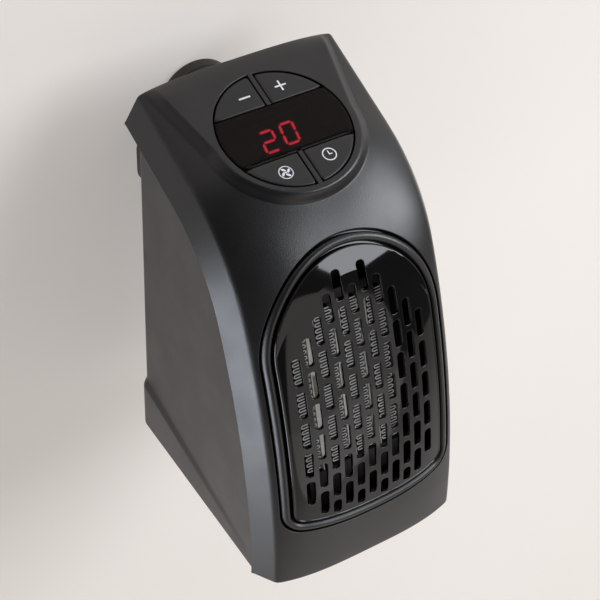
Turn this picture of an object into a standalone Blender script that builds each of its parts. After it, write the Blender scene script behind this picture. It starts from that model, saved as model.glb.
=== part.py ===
"""Plug-in fan heater that hangs on a wall socket.

Metres, +Z up, +Y into the wall, +X to the right of someone facing the heater.
The origin is the middle of the plug's pin face, which rests on the socket.
The plug stays in the wall and the heater swivels on it. A curved fascia carries
the round control panel and the arched outlet, and a tub-shaped rear housing
closes it. Behind the outlet grille lie the ceramic heating core and the fan.
"""

import math

import bmesh
import bpy
from mathutils import Matrix, Vector
from mathutils.geometry import delaunay_2d_cdt

# Driving sizes of the outer form
top_edge_z = 0.0367
body_bottom_z = -0.115
fascia_back_y = -0.0286
housing_back_y = -0.0290
crease_half_width = 0.037
flank_spread = 0.0053
seam_half_width = crease_half_width + flank_spread
flank_drop = 0.0087
crown_at_top = 0.0021
crown_at_bottom = 0.0038
crown_belly = 0.0038
crown_power = 3.3
belly_power = 0.8

# Front profile seen from the side: a slope, a shoulder arc and a long shallow arc
top_slope = math.radians(21.3)
slope_length = 0.0366
shoulder_radius = 0.0621
shoulder_end = math.radians(65.9)
front_radius = 0.2886
edge_fade = 0.008

# Walls and clearances
fascia_wall = 0.0022
fascia_rim_wall = 0.0021
housing_wall = 0.0022
clearance = 0.0003
housing_gap = 0.0005
overrun = 0.004
sink = 0.0006
weld_distance = 0.000001
sheet_tolerance = 0.000002
inner_crease_share = 0.62
inner_bend_share = 0.74
edge_round_share = 0.6
grid_pitch = 0.0093
grid_clear = 0.0021

# Control panel
panel_slope = math.radians(17.6)
panel_from_back = 0.031
panel_height = 0.0051
panel_opening_radius = 0.0235
panel_edge_gap = 0.0006
pad_rim = 0.0016
pad_radius = panel_opening_radius + pad_rim
pad_blend = 0.0032
pad_top_margin = 0.0052
pad_top_half_width = crease_half_width - pad_top_margin
pad_roll_off = 0.0070
pad_rim_shares = (0.0, 0.5, 1.0)
divider_width = 0.0017
divider_gap = 0.0004
lens_top = 0.0100
lens_bottom = -0.0097
lens_gap = 0.0003
lens_thickness = 0.0015
lens_shelf_wall = 0.0014
display_window_half_width = 0.0135
display_window_half_height = 0.0068
button_chamfer = 0.0005
button_flange = 0.0006
button_flange_thickness = 0.0010
button_travel = 0.0005
button_stem_radius = 0.0016
button_stem_length = 0.0030

# Control board and what it carries
board_depth = 0.0101
board_thickness = 0.0016
board_side_gap = 0.0046
board_half_height = 0.0215
board_corner = 0.004
board_screw_inset = 0.0035
tact_half = 0.0030
tact_height = 0.0040
tact_bore_clearance = 0.0003
display_half_width = 0.0125
display_half_height = 0.0058
capacitor_size = (0.018, 0.007, 0.0085)
capacitor_place = (-0.0115, -0.0075)
relay_size = (0.0155, 0.0150, 0.0115)
relay_place = (0.0100, 0.0095)

# Outlet arch, measured on the developed front face
arch_side_margin = 0.0022
arch_radius = crease_half_width - arch_side_margin
arch_bottom_margin = 0.0212
arch_straight = 0.0706
arch_bow_radius = 0.140
arch_corner_radius = 0.0090
arch_segments = 20
arch_side_segments = 5
arch_corner_segments = 4
arch_bottom_segments = 6
opening_gap = 0.0003
ring_outer_inset = 0.0005
ring_inner_inset = 0.0034
ring_crown = 0.00045
ring_edge_drop = 0.0004
ring_shoulder = 0.0008
ring_depth = 0.0027
ring_gap = 0.0008
grille_inset = ring_inner_inset + ring_gap
grille_edge_step = 0.00008
grille_rim = 0.0005
grille_rim_drop = 0.0003
grille_rim_reach = 0.0006
grille_border = 0.0008
grille_field_inset = grille_inset + grille_border
grille_field_drop = 0.0010
grille_flange_inset = 0.0002
grille_flange_top = ring_depth + clearance
grille_flange_thickness = 0.0014
grille_thickness = 0.0022
field_side_inset = 0.0023
field_radius = arch_radius - field_side_inset
field_shift = 0.0094
slot_width = 0.0030
slot_length = 0.0096
slot_column_pitch = 0.00482
slot_row_pitch = 0.0120
slot_top_margin = 0.0143
slot_long_extra = 0.0016
slot_end_margin = 0.0005
slot_shortest = 0.0048
slot_end_segments = 3
ledge_outset = 0.0020
ledge_inset = 0.0016
ledge_thickness = 0.0014
collar_inner_outset = 0.00045

# Heating core and its frame, in a frame of axes that lies behind the outlet
core_below_arch = 0.0250
core_depth = 0.0146
core_lean = math.radians(1.4)
core_half_length = 0.0380
core_half_depth = 0.0050
bar_pitch = 0.0104
bar_width = 0.0028
fin_wall_pitch = 0.0028
fin_strip = 0.0005
frame_plate_half = 0.0010
frame_window_margin = 0.0003
frame_plate_outset = 0.0014
collar_end = 0.0013
plenum_side_margin = 0.0104
plenum_end_margin = 0.0035
core_half_width = 2 * bar_pitch - bar_width / 2 - clearance
plenum_half_width = core_half_width + plenum_side_margin
plenum_half_height = core_half_length + plenum_end_margin
plenum_wall = 0.0016
plenum_depth = 0.0147
cutout_size = (0.0160, 0.0032, 0.0070)
fan_screw_inset = 0.0034
fan_boss_radius = 0.0028

# Fan
fan_tip_clearance = 0.0010
fan_shroud_wall = 0.0015
fan_plate_margin = 0.0006
fan_radius = plenum_half_width - fan_plate_margin - fan_shroud_wall - fan_tip_clearance
fan_plate = 0.0020
fan_shroud_depth = 0.0130
fan_arm_width = 0.0030
fan_arm_thickness = 0.0020
arm_root_share = 0.8
fan_hub_radius = 0.0110
fan_cup_wall = 0.0012
fan_cup_depth = 0.0100
fan_cup_setback = 0.0006
fan_shaft_radius = 0.0010
fan_bearing_radius = 0.0026
fan_tube_wall = 0.0009
fan_blade_count = 7
fan_blade_thickness = 0.0011
fan_root_pitch = math.radians(48.0)
fan_tip_pitch = math.radians(28.0)
fan_blade_root_chord = 0.0100
fan_blade_tip_chord = 0.0150
stator_depth = 0.0062

# Rear housing
back_inset_upper = 0.0040
back_inset_lower = 0.0028
back_half_width_upper = seam_half_width - back_inset_upper
back_half_width_lower = seam_half_width - back_inset_lower
board_half_width = back_half_width_upper - housing_wall - board_side_gap
board_screw_x = board_half_width - board_screw_inset
seam_side_inset = 0.0009
side_reference_depth = 0.0600
back_corner_radius = 0.0036
skirt_proud = 0.0015
skirt_back_z = -0.0890
skirt_front_z = -0.1070
skirt_blend = 0.0060
bottom_edge_radius = 0.0016
housing_top_z = top_edge_z + overrun
station_shares = (0.14, 0.36, 0.62)
upper_level_shares = (0.22, 0.52)
skirt_levels = 6
intake_slot_height = 0.0032
intake_slot_length = 0.0245
intake_pitch = 0.0066
intake_first_z = -0.0300
intake_rows = 10
intake_gap_half = 0.0025
post_side_gap = 0.0049
post_x = back_half_width_upper - housing_wall - post_side_gap
post_upper_z = 0.0030
post_lower_z = -0.1040
post_radius = 0.0041
post_wall = 0.0011
post_floor = 0.0020
upper_boss_length = 0.0280
lower_boss_length = 0.0190
boss_radius = 0.0030
rib_thickness = 0.0020
rib_reach = 0.0042
rib_depth = 0.030
rib_station = 0.0250
shelf_front_y = -0.0580
shelf_back_y = -0.0440
shelf_top_z = -0.0052
shelf_thickness = 0.0018
lead_pass_x = 0.0220
lead_pass_radius = 0.0022

# Screws
screw_head_radius = 0.0027
screw_head_height = 0.0018
screw_crown_share = 0.7
screw_shank_radius = 0.0013
screw_length = 0.0080
screw_segments = 8

# Plug: a three-pin head with a swivel hub
plug_depth = 0.0274
plug_base_depth = 0.0050
plug_top_radius = 0.0145
plug_top_z = 0.0210
plug_bottom_z = -0.0240
plug_half_width = 0.0245
plug_wide_z = -0.0070
plug_corner_radius = 0.0055
plug_wall = 0.0022
plug_edge = 0.0022
plug_edge_share = 0.3
plug_cavity_end = 0.0215
pin_offset_x = 0.0111
pin_offset_z = 0.0111
line_pin_width = 0.00635
line_pin_height = 0.0040
line_pin_length = 0.0177
earth_pin_width = 0.0040
earth_pin_height = 0.0080
earth_pin_length = 0.0227
pin_root = 0.0120
pin_nose = 0.0012
sleeve_length = 0.0095
sleeve_wall = 0.0005
fuse_centre_z = -0.0047
fuse_half_length = 0.0127
fuse_radius = 0.00315
fuse_depth = 0.0046
fuse_cap_share = 0.5
fuse_glass_share = 0.92
carrier_height = 0.0065
carrier_wall = 0.0010
carrier_end_gap = 0.0011
carrier_side_wall = 0.00025
carrier_half_length = fuse_half_length + carrier_end_gap + carrier_wall
carrier_half_height = fuse_radius + clearance + carrier_side_wall
plug_screw_inset = 0.0047
plug_screw_drop = 0.0023
plug_screw_x = plug_top_radius - plug_screw_inset
plug_screw_z = plug_top_z - plug_top_radius - plug_screw_drop
hub_radius = 0.0150
hub_running_gap = 0.0003
lead_radius = 0.0028
lead_bore = 0.0032
lead_start = 0.0100
retainer_lip = 0.0040
retainer_radius = hub_radius + retainer_lip
retainer_thickness = 0.0020
retainer_bore = 0.0080
retainer_screw_radius = (retainer_bore + hub_radius) / 2
swivel_limit = math.radians(90.0)
stop_half_angle = math.radians(8.0)
stop_reach = 0.0026
stop_margin = math.radians(1.5)

# Power switch on the right-hand side
switch_y = -0.0500
switch_z = -0.0360
switch_half_width = 0.0062
switch_half_height = 0.0092
switch_flange = 0.0014
switch_flange_height = 0.0014
switch_wall = 0.0011
switch_depth = 0.0130
wall_step_share = 0.1
rocker_tilt = math.radians(8.0)
rocker_clearance = 0.0004
rocker_height = 0.0018
rocker_depth = 0.0034
rocker_dip_share = 0.62
rocker_keel = 0.0048
switch_pocket_depth = 0.0075
rocker_pin_radius = 0.0008

# Leads and the terminal block
terminal_half_width = 0.0080
terminal_half_height = 0.0046
terminal_length = 0.0095
wire_radius = 0.0010
block_gap = 0.0002
wire_points = 10
lead_entry_depth = 0.0081


def clear_scene():
    for item in list(bpy.data.objects):
        bpy.data.objects.remove(item, do_unlink=True)


def make_material(name, colour, roughness, metallic=0.0, alpha=1.0):
    material = bpy.data.materials.new(name)
    material.use_nodes = True
    shader = material.node_tree.nodes["Principled BSDF"]
    shader.inputs["Base Color"].default_value = (*colour, 1.0)
    shader.inputs["Roughness"].default_value = roughness
    shader.inputs["Metallic"].default_value = metallic
    shader.inputs["Alpha"].default_value = alpha
    return material


def place(name, shape, material, body=None):
    """Turn a bmesh into a named object with its own copy of a material."""
    bmesh.ops.recalc_face_normals(shape, faces=shape.faces)
    mesh = bpy.data.meshes.new(name)
    shape.to_mesh(mesh)
    shape.free()
    item = bpy.data.objects.new(name, mesh)
    bpy.context.scene.collection.objects.link(item)
    if material:
        own = material.copy()
        own.name = name + "_finish"
        mesh.materials.append(own)
        mesh.shade_smooth()
        mesh.set_sharp_from_angle(angle=math.radians(28.0))
    if body:
        item.parent = body
        item.matrix_parent_inverse = body.matrix_world.inverted()
    return item


def make_pivot(name, matrix, parent=None):
    pivot = bpy.data.objects.new(name, None)
    bpy.context.scene.collection.objects.link(pivot)
    pivot.matrix_world = matrix
    bpy.context.view_layer.update()
    if parent:
        pivot.parent = parent
        pivot.matrix_parent_inverse = parent.matrix_world.inverted()
    bpy.context.view_layer.update()
    return pivot


def boolean(shape, tools, operation="DIFFERENCE"):
    """Cut the tools from a bmesh, or join them to it, and return a new bmesh."""
    body = place("working_body", shape, None)
    cutters = []
    for number, tool in enumerate(tools):
        cutter = place(f"working_tool_{number}", tool, None)
        cutter.hide_render = True
        cutter.display_type = "WIRE"
        change = body.modifiers.new("change", "BOOLEAN")
        change.operation = operation
        change.solver = "EXACT"
        change.object = cutter
        cutters.append(cutter)
    bpy.context.view_layer.update()
    graph = bpy.context.evaluated_depsgraph_get()
    result = bmesh.new()
    result.from_mesh(body.evaluated_get(graph).to_mesh())
    for item in [body, *cutters]:
        mesh = item.data
        bpy.data.objects.remove(item, do_unlink=True)
        bpy.data.meshes.remove(mesh)
    return result


def loft(rings, frame=Matrix(), closed=False):
    """Skin a run of equal rings. Open runs get flat caps, closed ones join up."""
    shape = bmesh.new()
    rows = [[shape.verts.new(frame @ Vector(point)) for point in ring] for ring in rings]
    count = len(rows[0])
    pairs = list(zip(rows, rows[1:]))
    if closed:
        pairs.append((rows[-1], rows[0]))
    for low, high in pairs:
        for i in range(count):
            j = (i + 1) % count
            shape.faces.new((low[i], low[j], high[j], high[i]))
    if not closed:
        shape.faces.new(list(reversed(rows[0])))
        shape.faces.new(rows[-1])
    return shape


def prism(outline, low, high, frame=Matrix()):
    return loft([[(x, y, low) for x, y in outline], [(x, y, high) for x, y in outline]], frame)


def block(size_x, size_y, size_z, frame=Matrix()):
    """A box given by its (low, high) spans."""
    outline = [
        (size_x[0], size_y[0]),
        (size_x[1], size_y[0]),
        (size_x[1], size_y[1]),
        (size_x[0], size_y[1]),
    ]
    return prism(outline, size_z[0], size_z[1], frame)


def tube(outer, inner, low, high, frame=Matrix()):
    """A ring-shaped wall between two outlines with equal point counts."""
    sections = []
    for (ox, oy), (ix, iy) in zip(outer, inner):
        sections.append([(ox, oy, low), (ox, oy, high), (ix, iy, high), (ix, iy, low)])
    return loft(sections, frame, closed=True)


def revolve(profile, segments, frame=Matrix()):
    """Turn a profile of (radius, height) points about the frame's own Z axis."""
    shape = bmesh.new()
    verts = [shape.verts.new((radius, 0.0, height)) for radius, height in profile]
    edges = [shape.edges.new(pair) for pair in zip(verts, verts[1:])]
    if profile[0][0] > 0.0:
        edges.append(shape.edges.new((verts[-1], verts[0])))
    bmesh.ops.spin(
        shape,
        geom=verts + edges,
        cent=(0.0, 0.0, 0.0),
        axis=(0.0, 0.0, 1.0),
        angle=math.tau,
        steps=segments,
        use_merge=True,
    )
    bmesh.ops.remove_doubles(shape, verts=shape.verts, dist=weld_distance)
    half_step = Matrix.Rotation(math.pi / segments, 4, "Z")
    bmesh.ops.transform(shape, matrix=frame @ half_step, verts=shape.verts)
    return shape


def circle(radius, segments, centre=(0.0, 0.0), start=0.0):
    step = math.tau / segments
    return [
        (
            centre[0] + radius * math.cos(start + step * i),
            centre[1] + radius * math.sin(start + step * i),
        )
        for i in range(segments)
    ]


def cylinder(radius, low, high, frame=Matrix(), segments=16, centre=(0.0, 0.0)):
    return prism(circle(radius, segments, centre, math.pi / segments), low, high, frame)


def rounded_rectangle(half_x, half_y, radius, steps=3, centre=(0.0, 0.0)):
    points = []
    corners = [(1, 1, 0.0), (-1, 1, 0.25), (-1, -1, 0.5), (1, -1, 0.75)]
    for side_x, side_y, turn in corners:
        for i in range(steps + 1):
            angle = math.tau * (turn + 0.25 * i / steps)
            points.append(
                (
                    centre[0] + side_x * (half_x - radius) + radius * math.cos(angle),
                    centre[1] + side_y * (half_y - radius) + radius * math.sin(angle),
                )
            )
    return points


def smoothstep(value):
    t = min(max(value, 0.0), 1.0)
    return t * t * (3.0 - 2.0 * t)


def smooth_route(points, count):
    """Points along a Catmull-Rom curve through a few route points."""
    knots = [Vector(p) for p in points]
    knots = [2 * knots[0] - knots[1], *knots, 2 * knots[-1] - knots[-2]]
    spans = len(knots) - 3
    route = []
    for i in range(count):
        place_on = spans * i / (count - 1)
        span = min(int(place_on), spans - 1)
        t = place_on - span
        a, b, c, d = knots[span : span + 4]
        route.append(
            0.5
            * (
                2 * b
                + (c - a) * t
                + (2 * a - 5 * b + 4 * c - d) * t * t
                + (3 * b - a - 3 * c + d) * t * t * t
            )
        )
    return route


# The developed front face: u runs across it, v down it from the rear top edge,
# and depth runs inwards, square to it
class FrontProfile:
    """The side view of the fascia's edge, as a line and two tangent arcs."""

    def __init__(self):
        self.start = (fascia_back_y, top_edge_z)
        self.bend = (
            self.start[0] - slope_length * math.cos(top_slope),
            self.start[1] - slope_length * math.sin(top_slope),
        )
        self.shoulder_centre = self.centre_of(self.bend, shoulder_radius, top_slope)
        self.shoulder_length = shoulder_radius * (shoulder_end - top_slope)
        self.knee = self.on_arc(self.shoulder_centre, shoulder_radius, shoulder_end)
        self.front_centre = self.centre_of(self.knee, front_radius, shoulder_end)
        self.end_angle = math.acos((body_bottom_z - self.front_centre[1]) / front_radius)
        self.length = (
            slope_length
            + self.shoulder_length
            + front_radius * (self.end_angle - shoulder_end)
        )

    def centre_of(self, point, radius, angle):
        return (point[0] + radius * math.sin(angle), point[1] - radius * math.cos(angle))

    def on_arc(self, centre, radius, angle):
        return (centre[0] - radius * math.sin(angle), centre[1] + radius * math.cos(angle))

    def at(self, v):
        """Place (y, z) and slope angle at a distance v down the face."""
        if v <= slope_length:
            return (
                self.start[0] - v * math.cos(top_slope),
                self.start[1] - v * math.sin(top_slope),
                top_slope,
            )
        beyond = v - slope_length
        if beyond <= self.shoulder_length:
            angle = top_slope + beyond / shoulder_radius
            return (*self.on_arc(self.shoulder_centre, shoulder_radius, angle), angle)
        angle = shoulder_end + (beyond - self.shoulder_length) / front_radius
        return (*self.on_arc(self.front_centre, front_radius, angle), angle)

    def foot(self, y, z):
        """Distance v down the face of the point nearest to (y, z)."""
        v = (self.start[0] - y) * math.cos(top_slope) + (self.start[1] - z) * math.sin(top_slope)
        if v <= slope_length:
            return v
        centre = self.shoulder_centre
        angle = math.atan2(centre[0] - y, z - centre[1])
        if angle <= shoulder_end:
            return slope_length + shoulder_radius * (angle - top_slope)
        centre = self.front_centre
        angle = math.atan2(centre[0] - y, z - centre[1])
        arc = front_radius * (angle - shoulder_end)
        return slope_length + self.shoulder_length + arc


profile = FrontProfile()
flank_length = math.hypot(flank_spread, flank_drop)
arch_bottom_v = profile.length - arch_bottom_margin
arch_centre_v = arch_bottom_v - arch_straight
field_centre_v = arch_centre_v + field_shift
slot_first_v = arch_centre_v - arch_radius + slot_top_margin
core_station = arch_centre_v + core_below_arch
sheet_half_width = crease_half_width + flank_length


def lifted(v, height):
    """The (y, z) point at a height over the crease line at v."""
    y, z, angle = profile.at(v)
    return (y - height * math.sin(angle), z + height * math.cos(angle))


panel_centre = lifted(panel_from_back, panel_height)
panel_frame = Matrix(
    (
        (1.0, 0.0, 0.0, 0.0),
        (0.0, math.cos(panel_slope), -math.sin(panel_slope), panel_centre[0]),
        (0.0, math.sin(panel_slope), math.cos(panel_slope), panel_centre[1]),
        (0.0, 0.0, 0.0, 1.0),
    )
)
core_centre = lifted(core_station, -core_depth)
core_tilt = math.pi / 2 - profile.at(core_station)[2] + core_lean
core_frame = Matrix(
    (
        (1.0, 0.0, 0.0, 0.0),
        (0.0, math.sin(core_tilt), -math.cos(core_tilt), core_centre[0]),
        (0.0, math.cos(core_tilt), math.sin(core_tilt), core_centre[1]),
        (0.0, 0.0, 0.0, 1.0),
    )
)
# Plug axes: x across, y up, z out of the wall into the room
plug_frame = Matrix(
    (
        (1.0, 0.0, 0.0, 0.0),
        (0.0, 0.0, -1.0, 0.0),
        (0.0, 1.0, 0.0, 0.0),
        (0.0, 0.0, 0.0, 1.0),
    )
)


def crown(x, v):
    """Height of the plain front surface over the crease line."""
    t = min(max(v / profile.length, 0.0), 1.0)
    middle = crown_at_top + (crown_at_bottom - crown_at_top) * t
    middle += crown_belly * math.sin(math.pi * t) ** belly_power
    return middle * (1.0 - min(abs(x) / crease_half_width, 1.0) ** crown_power)


def panel_plane_height(v):
    y, z, angle = profile.at(v)
    normal = (-math.sin(panel_slope), math.cos(panel_slope))
    reach = (panel_centre[0] - y) * normal[0] + (panel_centre[1] - z) * normal[1]
    return reach / (-math.sin(angle) * normal[0] + math.cos(angle) * normal[1])


def panel_place(x, v):
    """Place of a face point on the panel's plane, as (x, y up the slope)."""
    y, z = lifted(v, panel_plane_height(v))
    up = (y - panel_centre[0]) * math.cos(panel_slope)
    up += (z - panel_centre[1]) * math.sin(panel_slope)
    return x, up


def face_place(x, up):
    """The reverse of panel_place."""
    y = panel_centre[0] + up * math.cos(panel_slope)
    z = panel_centre[1] + up * math.sin(panel_slope)
    return x, profile.foot(y, z)


panel_top_up = panel_place(0.0, 0.0)[1]


def pad_half_width(up):
    return pad_radius + (pad_top_half_width - pad_radius) * up / panel_top_up


def pad_distance(x, up):
    """Distance outside the raised pad, which is a tongue with a round lower end."""
    if up <= 0.0:
        return math.hypot(x, up) - pad_radius
    return abs(x) - pad_half_width(up)


def pad_share(x, v):
    """How far a face point belongs to the raised pad, from 0 to 1."""
    if v > arch_centre_v - arch_radius:
        return 0.0
    px, up = panel_place(x, v)
    return 1.0 - smoothstep(pad_distance(px, up) / pad_blend)


def lift(x, v):
    """Height of the fascia's outer surface over the crease line."""
    plain = crown(x, v)
    rolled = 1.0 - max(1.0 - v / pad_roll_off, 0.0) ** 2
    return plain + pad_share(x, v) * rolled * (panel_plane_height(v) - plain)


def section(u, v, depth):
    """Across-face section at a depth: x, height of the skin and depth below it."""
    side = math.copysign(1.0, u)
    inner_crease = crease_half_width - inner_crease_share * fascia_wall
    inner_bend = crease_half_width - inner_bend_share * fascia_wall
    share = depth / fascia_wall
    if abs(u) <= crease_half_width:
        span = (abs(u) - inner_bend) / (crease_half_width - inner_bend)
        pull = max(span, 0.0) * (crease_half_width - inner_crease)
        x = abs(u) - pull * max(share, 0.0)
        return side * x, lift(u, v), depth
    t = (abs(u) - crease_half_width) / flank_length
    outer = (crease_half_width + (seam_half_width - crease_half_width) * t, -flank_drop * t)
    inner_seam = seam_half_width - fascia_rim_wall
    inner = (
        inner_crease + (inner_seam - inner_crease) * t,
        -fascia_wall + (fascia_wall - flank_drop) * t,
    )
    x = outer[0] + (inner[0] - outer[0]) * share
    return side * x, outer[1] + (inner[1] - outer[1]) * share, 0.0


def settled(x, v, off_y, off_z):
    """A point off the crease line, slid along the face so that its ends lie flat."""
    y, z, angle = profile.at(v)
    top_share = max(1.0 - v / edge_fade, 0.0)
    bottom_share = max(1.0 - (profile.length - v) / edge_fade, 0.0)
    slide = off_y / math.cos(top_slope) * top_share
    slide += off_z / math.sin(profile.end_angle) * bottom_share
    y += off_y - slide * math.cos(angle)
    z += off_z - slide * math.sin(angle)
    return Vector((x, y, z))


def face_point(u, v, depth):
    """World place of a point of the developed face at a depth below its skin."""
    x, height, below = section(u, v, depth)
    angle = profile.at(v)[2]
    inward = angle + pad_share(u, v) * (panel_slope - angle) if below else angle
    off_y = -height * math.sin(angle) + below * math.sin(inward)
    off_z = height * math.cos(angle) - below * math.cos(inward)
    return settled(x, v, off_y, off_z)


def over_crease(x, v, height):
    angle = profile.at(v)[2]
    return settled(x, v, -height * math.sin(angle), height * math.cos(angle))


def sheet(points, lines, keep):
    """Triangles of a flat region that hold the given points and lines."""
    coords = [Vector(p) for p in points]
    edges = []
    for line in lines:
        first = len(coords)
        coords += [Vector(p) for p in line]
        edges += [(first + i, first + i + 1) for i in range(len(line) - 1)]
    flat, _, faces, _, _, _ = delaunay_2d_cdt(coords, edges, [], 0, sheet_tolerance)
    kept = []
    for face in faces:
        for i in range(1, len(face) - 1):
            corner = (face[0], face[i], face[i + 1])
            middle = (flat[corner[0]] + flat[corner[1]] + flat[corner[2]]) / 3.0
            if keep(middle.x, middle.y):
                kept.append(corner)
    return flat, kept


def plate(flat, triangles, top, bottom):
    """A closed plate between two mapped copies of a flat sheet."""
    shape = bmesh.new()
    used = sorted({i for corner in triangles for i in corner})
    high = {i: shape.verts.new(top(flat[i].x, flat[i].y)) for i in used}
    low = {i: shape.verts.new(bottom(flat[i].x, flat[i].y)) for i in used}
    sides = {}
    for a, b, c in triangles:
        shape.faces.new((high[a], high[b], high[c]))
        shape.faces.new((low[c], low[b], low[a]))
        for pair in ((a, b), (b, c), (c, a)):
            sides[pair] = sides.get(pair, 0) + 1
    for a, b in sides:
        if (b, a) not in sides:
            shape.faces.new((high[b], high[a], low[a], low[b]))
    return shape


def closed(line):
    return [*line, line[0]]


def inside(x, y, outline):
    """Even-odd test of a point against an outline."""
    hit = False
    for (ax, ay), (bx, by) in zip(outline, closed(outline)[1:]):
        if (ay > y) != (by > y) and x < (bx - ax) * (y - ay) / (by - ay) + ax:
            hit = not hit
    return hit


def clear_points(points, lines, distance):
    """The grid points that keep a distance from every line."""
    spots = []
    for line in lines:
        for (ax, ay), (bx, by) in zip(line, line[1:]):
            count = max(int(math.hypot(bx - ax, by - ay) / distance), 1)
            for i in range(count + 1):
                spots.append((ax + (bx - ax) * i / count, ay + (by - ay) * i / count))
    return [
        p
        for p in points
        if all(math.hypot(p[0] - x, p[1] - y) > distance for x, y in spots)
    ]


# The outlet arch: every inset is a true parallel of the others
bow_centre_v = arch_bottom_v - arch_bow_radius
corner_x = arch_radius - arch_corner_radius
corner_v = bow_centre_v + math.sqrt((arch_bow_radius - arch_corner_radius) ** 2 - corner_x**2)
corner_end = math.atan2(corner_v - bow_centre_v, corner_x)


def arch_outline(inset):
    """Outline of the outlet in (x, v), starting at its right-hand side."""
    radius = arch_radius - inset
    corner = arch_corner_radius - inset
    bow = arch_bow_radius - inset
    points = []
    for i in range(arch_side_segments):
        share = i / arch_side_segments
        points.append((radius, arch_centre_v + (corner_v - arch_centre_v) * share))
    for i in range(arch_corner_segments):
        angle = corner_end * i / arch_corner_segments
        points.append((corner_x + corner * math.cos(angle), corner_v + corner * math.sin(angle)))
    half = math.pi / 2 - corner_end
    for i in range(arch_bottom_segments + 1):
        angle = corner_end + 2 * half * i / arch_bottom_segments
        points.append((bow * math.cos(angle), bow_centre_v + bow * math.sin(angle)))
    for i in range(1, arch_corner_segments + 1):
        angle = math.pi - corner_end + corner_end * i / arch_corner_segments
        points.append((-corner_x + corner * math.cos(angle), corner_v + corner * math.sin(angle)))
    for i in range(1, arch_side_segments + 1):
        share = 1.0 - i / arch_side_segments
        points.append((-radius, arch_centre_v + (corner_v - arch_centre_v) * share))
    for i in range(1, arch_segments):
        angle = math.pi + math.pi * i / arch_segments
        points.append((radius * math.cos(angle), arch_centre_v + radius * math.sin(angle)))
    return points


def arch_inset(x, v):
    """How far a point lies inside the outlet's outline."""
    found = [arch_radius - abs(x), arch_bow_radius - math.hypot(x, v - bow_centre_v)]
    if v < arch_centre_v:
        found.append(arch_radius - math.hypot(x, v - arch_centre_v))
    if abs(x) > corner_x and v > corner_v:
        found.append(arch_corner_radius - math.hypot(abs(x) - corner_x, v - corner_v))
    return min(found)


def arch_ring(inset, depth):
    return [face_point(x, v, depth) for x, v in arch_outline(inset)]


def arch_sweep(section_points):
    """Carry a section of (inset, depth) points round the outlet."""
    rings = [arch_ring(inset, depth) for inset, depth in section_points]
    return loft([list(points) for points in zip(*rings)], closed=True)


def core_local(point):
    return core_frame.inverted() @ point


# Openings of the control panel, in panel axes
def arc(radius, start, end, steps):
    return [
        (
            radius * math.cos(start + (end - start) * i / steps),
            radius * math.sin(start + (end - start) * i / steps),
        )
        for i in range(steps + 1)
    ]


def corner_sector(radius, inner_x, inner_up, steps=6):
    """Quarter panel bounded by an arc, the divider and the lens edge."""
    side = math.copysign(1.0, inner_x)
    above = math.copysign(1.0, inner_up)
    start = math.asin(abs(inner_up) / radius)
    end = math.acos(abs(inner_x) / radius)
    curve = [(side * x, above * up) for x, up in arc(radius, start, end, steps)]
    return [(inner_x, inner_up), *curve]


button_corners = {
    "minus": (-1, 1),
    "plus": (1, 1),
    "speed": (-1, -1),
    "timer": (1, -1),
}


def sector_of(name, radius, shrink):
    """A button's outline, or its opening, as the radius and shrink say."""
    side, above = button_corners[name]
    edge = lens_top if above > 0 else -lens_bottom
    return corner_sector(
        radius,
        side * (divider_width / 2 + shrink),
        above * (edge + shrink),
    )


def centre_of(outline):
    return (
        sum(x for x, _ in outline) / len(outline),
        sum(y for _, y in outline) / len(outline),
    )


def lens_outline(radius, grow):
    upper = lens_top + grow
    lower = lens_bottom - grow
    right = arc(radius, math.asin(lower / radius), math.asin(upper / radius), 8)
    left = [(-x, up) for x, up in reversed(right)]
    return right + left


def on_face(outline):
    return [face_place(x, up) for x, up in outline]


def panel_drop(x, v):
    """Depth of the lens shelf below the panel's face."""
    px, up = panel_place(x, v)
    pocket = lens_bottom - divider_gap < up < lens_top + divider_gap
    if pocket and math.hypot(px, up) < panel_opening_radius - grille_edge_step / 2:
        return lens_thickness + clearance
    return 0.0


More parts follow.
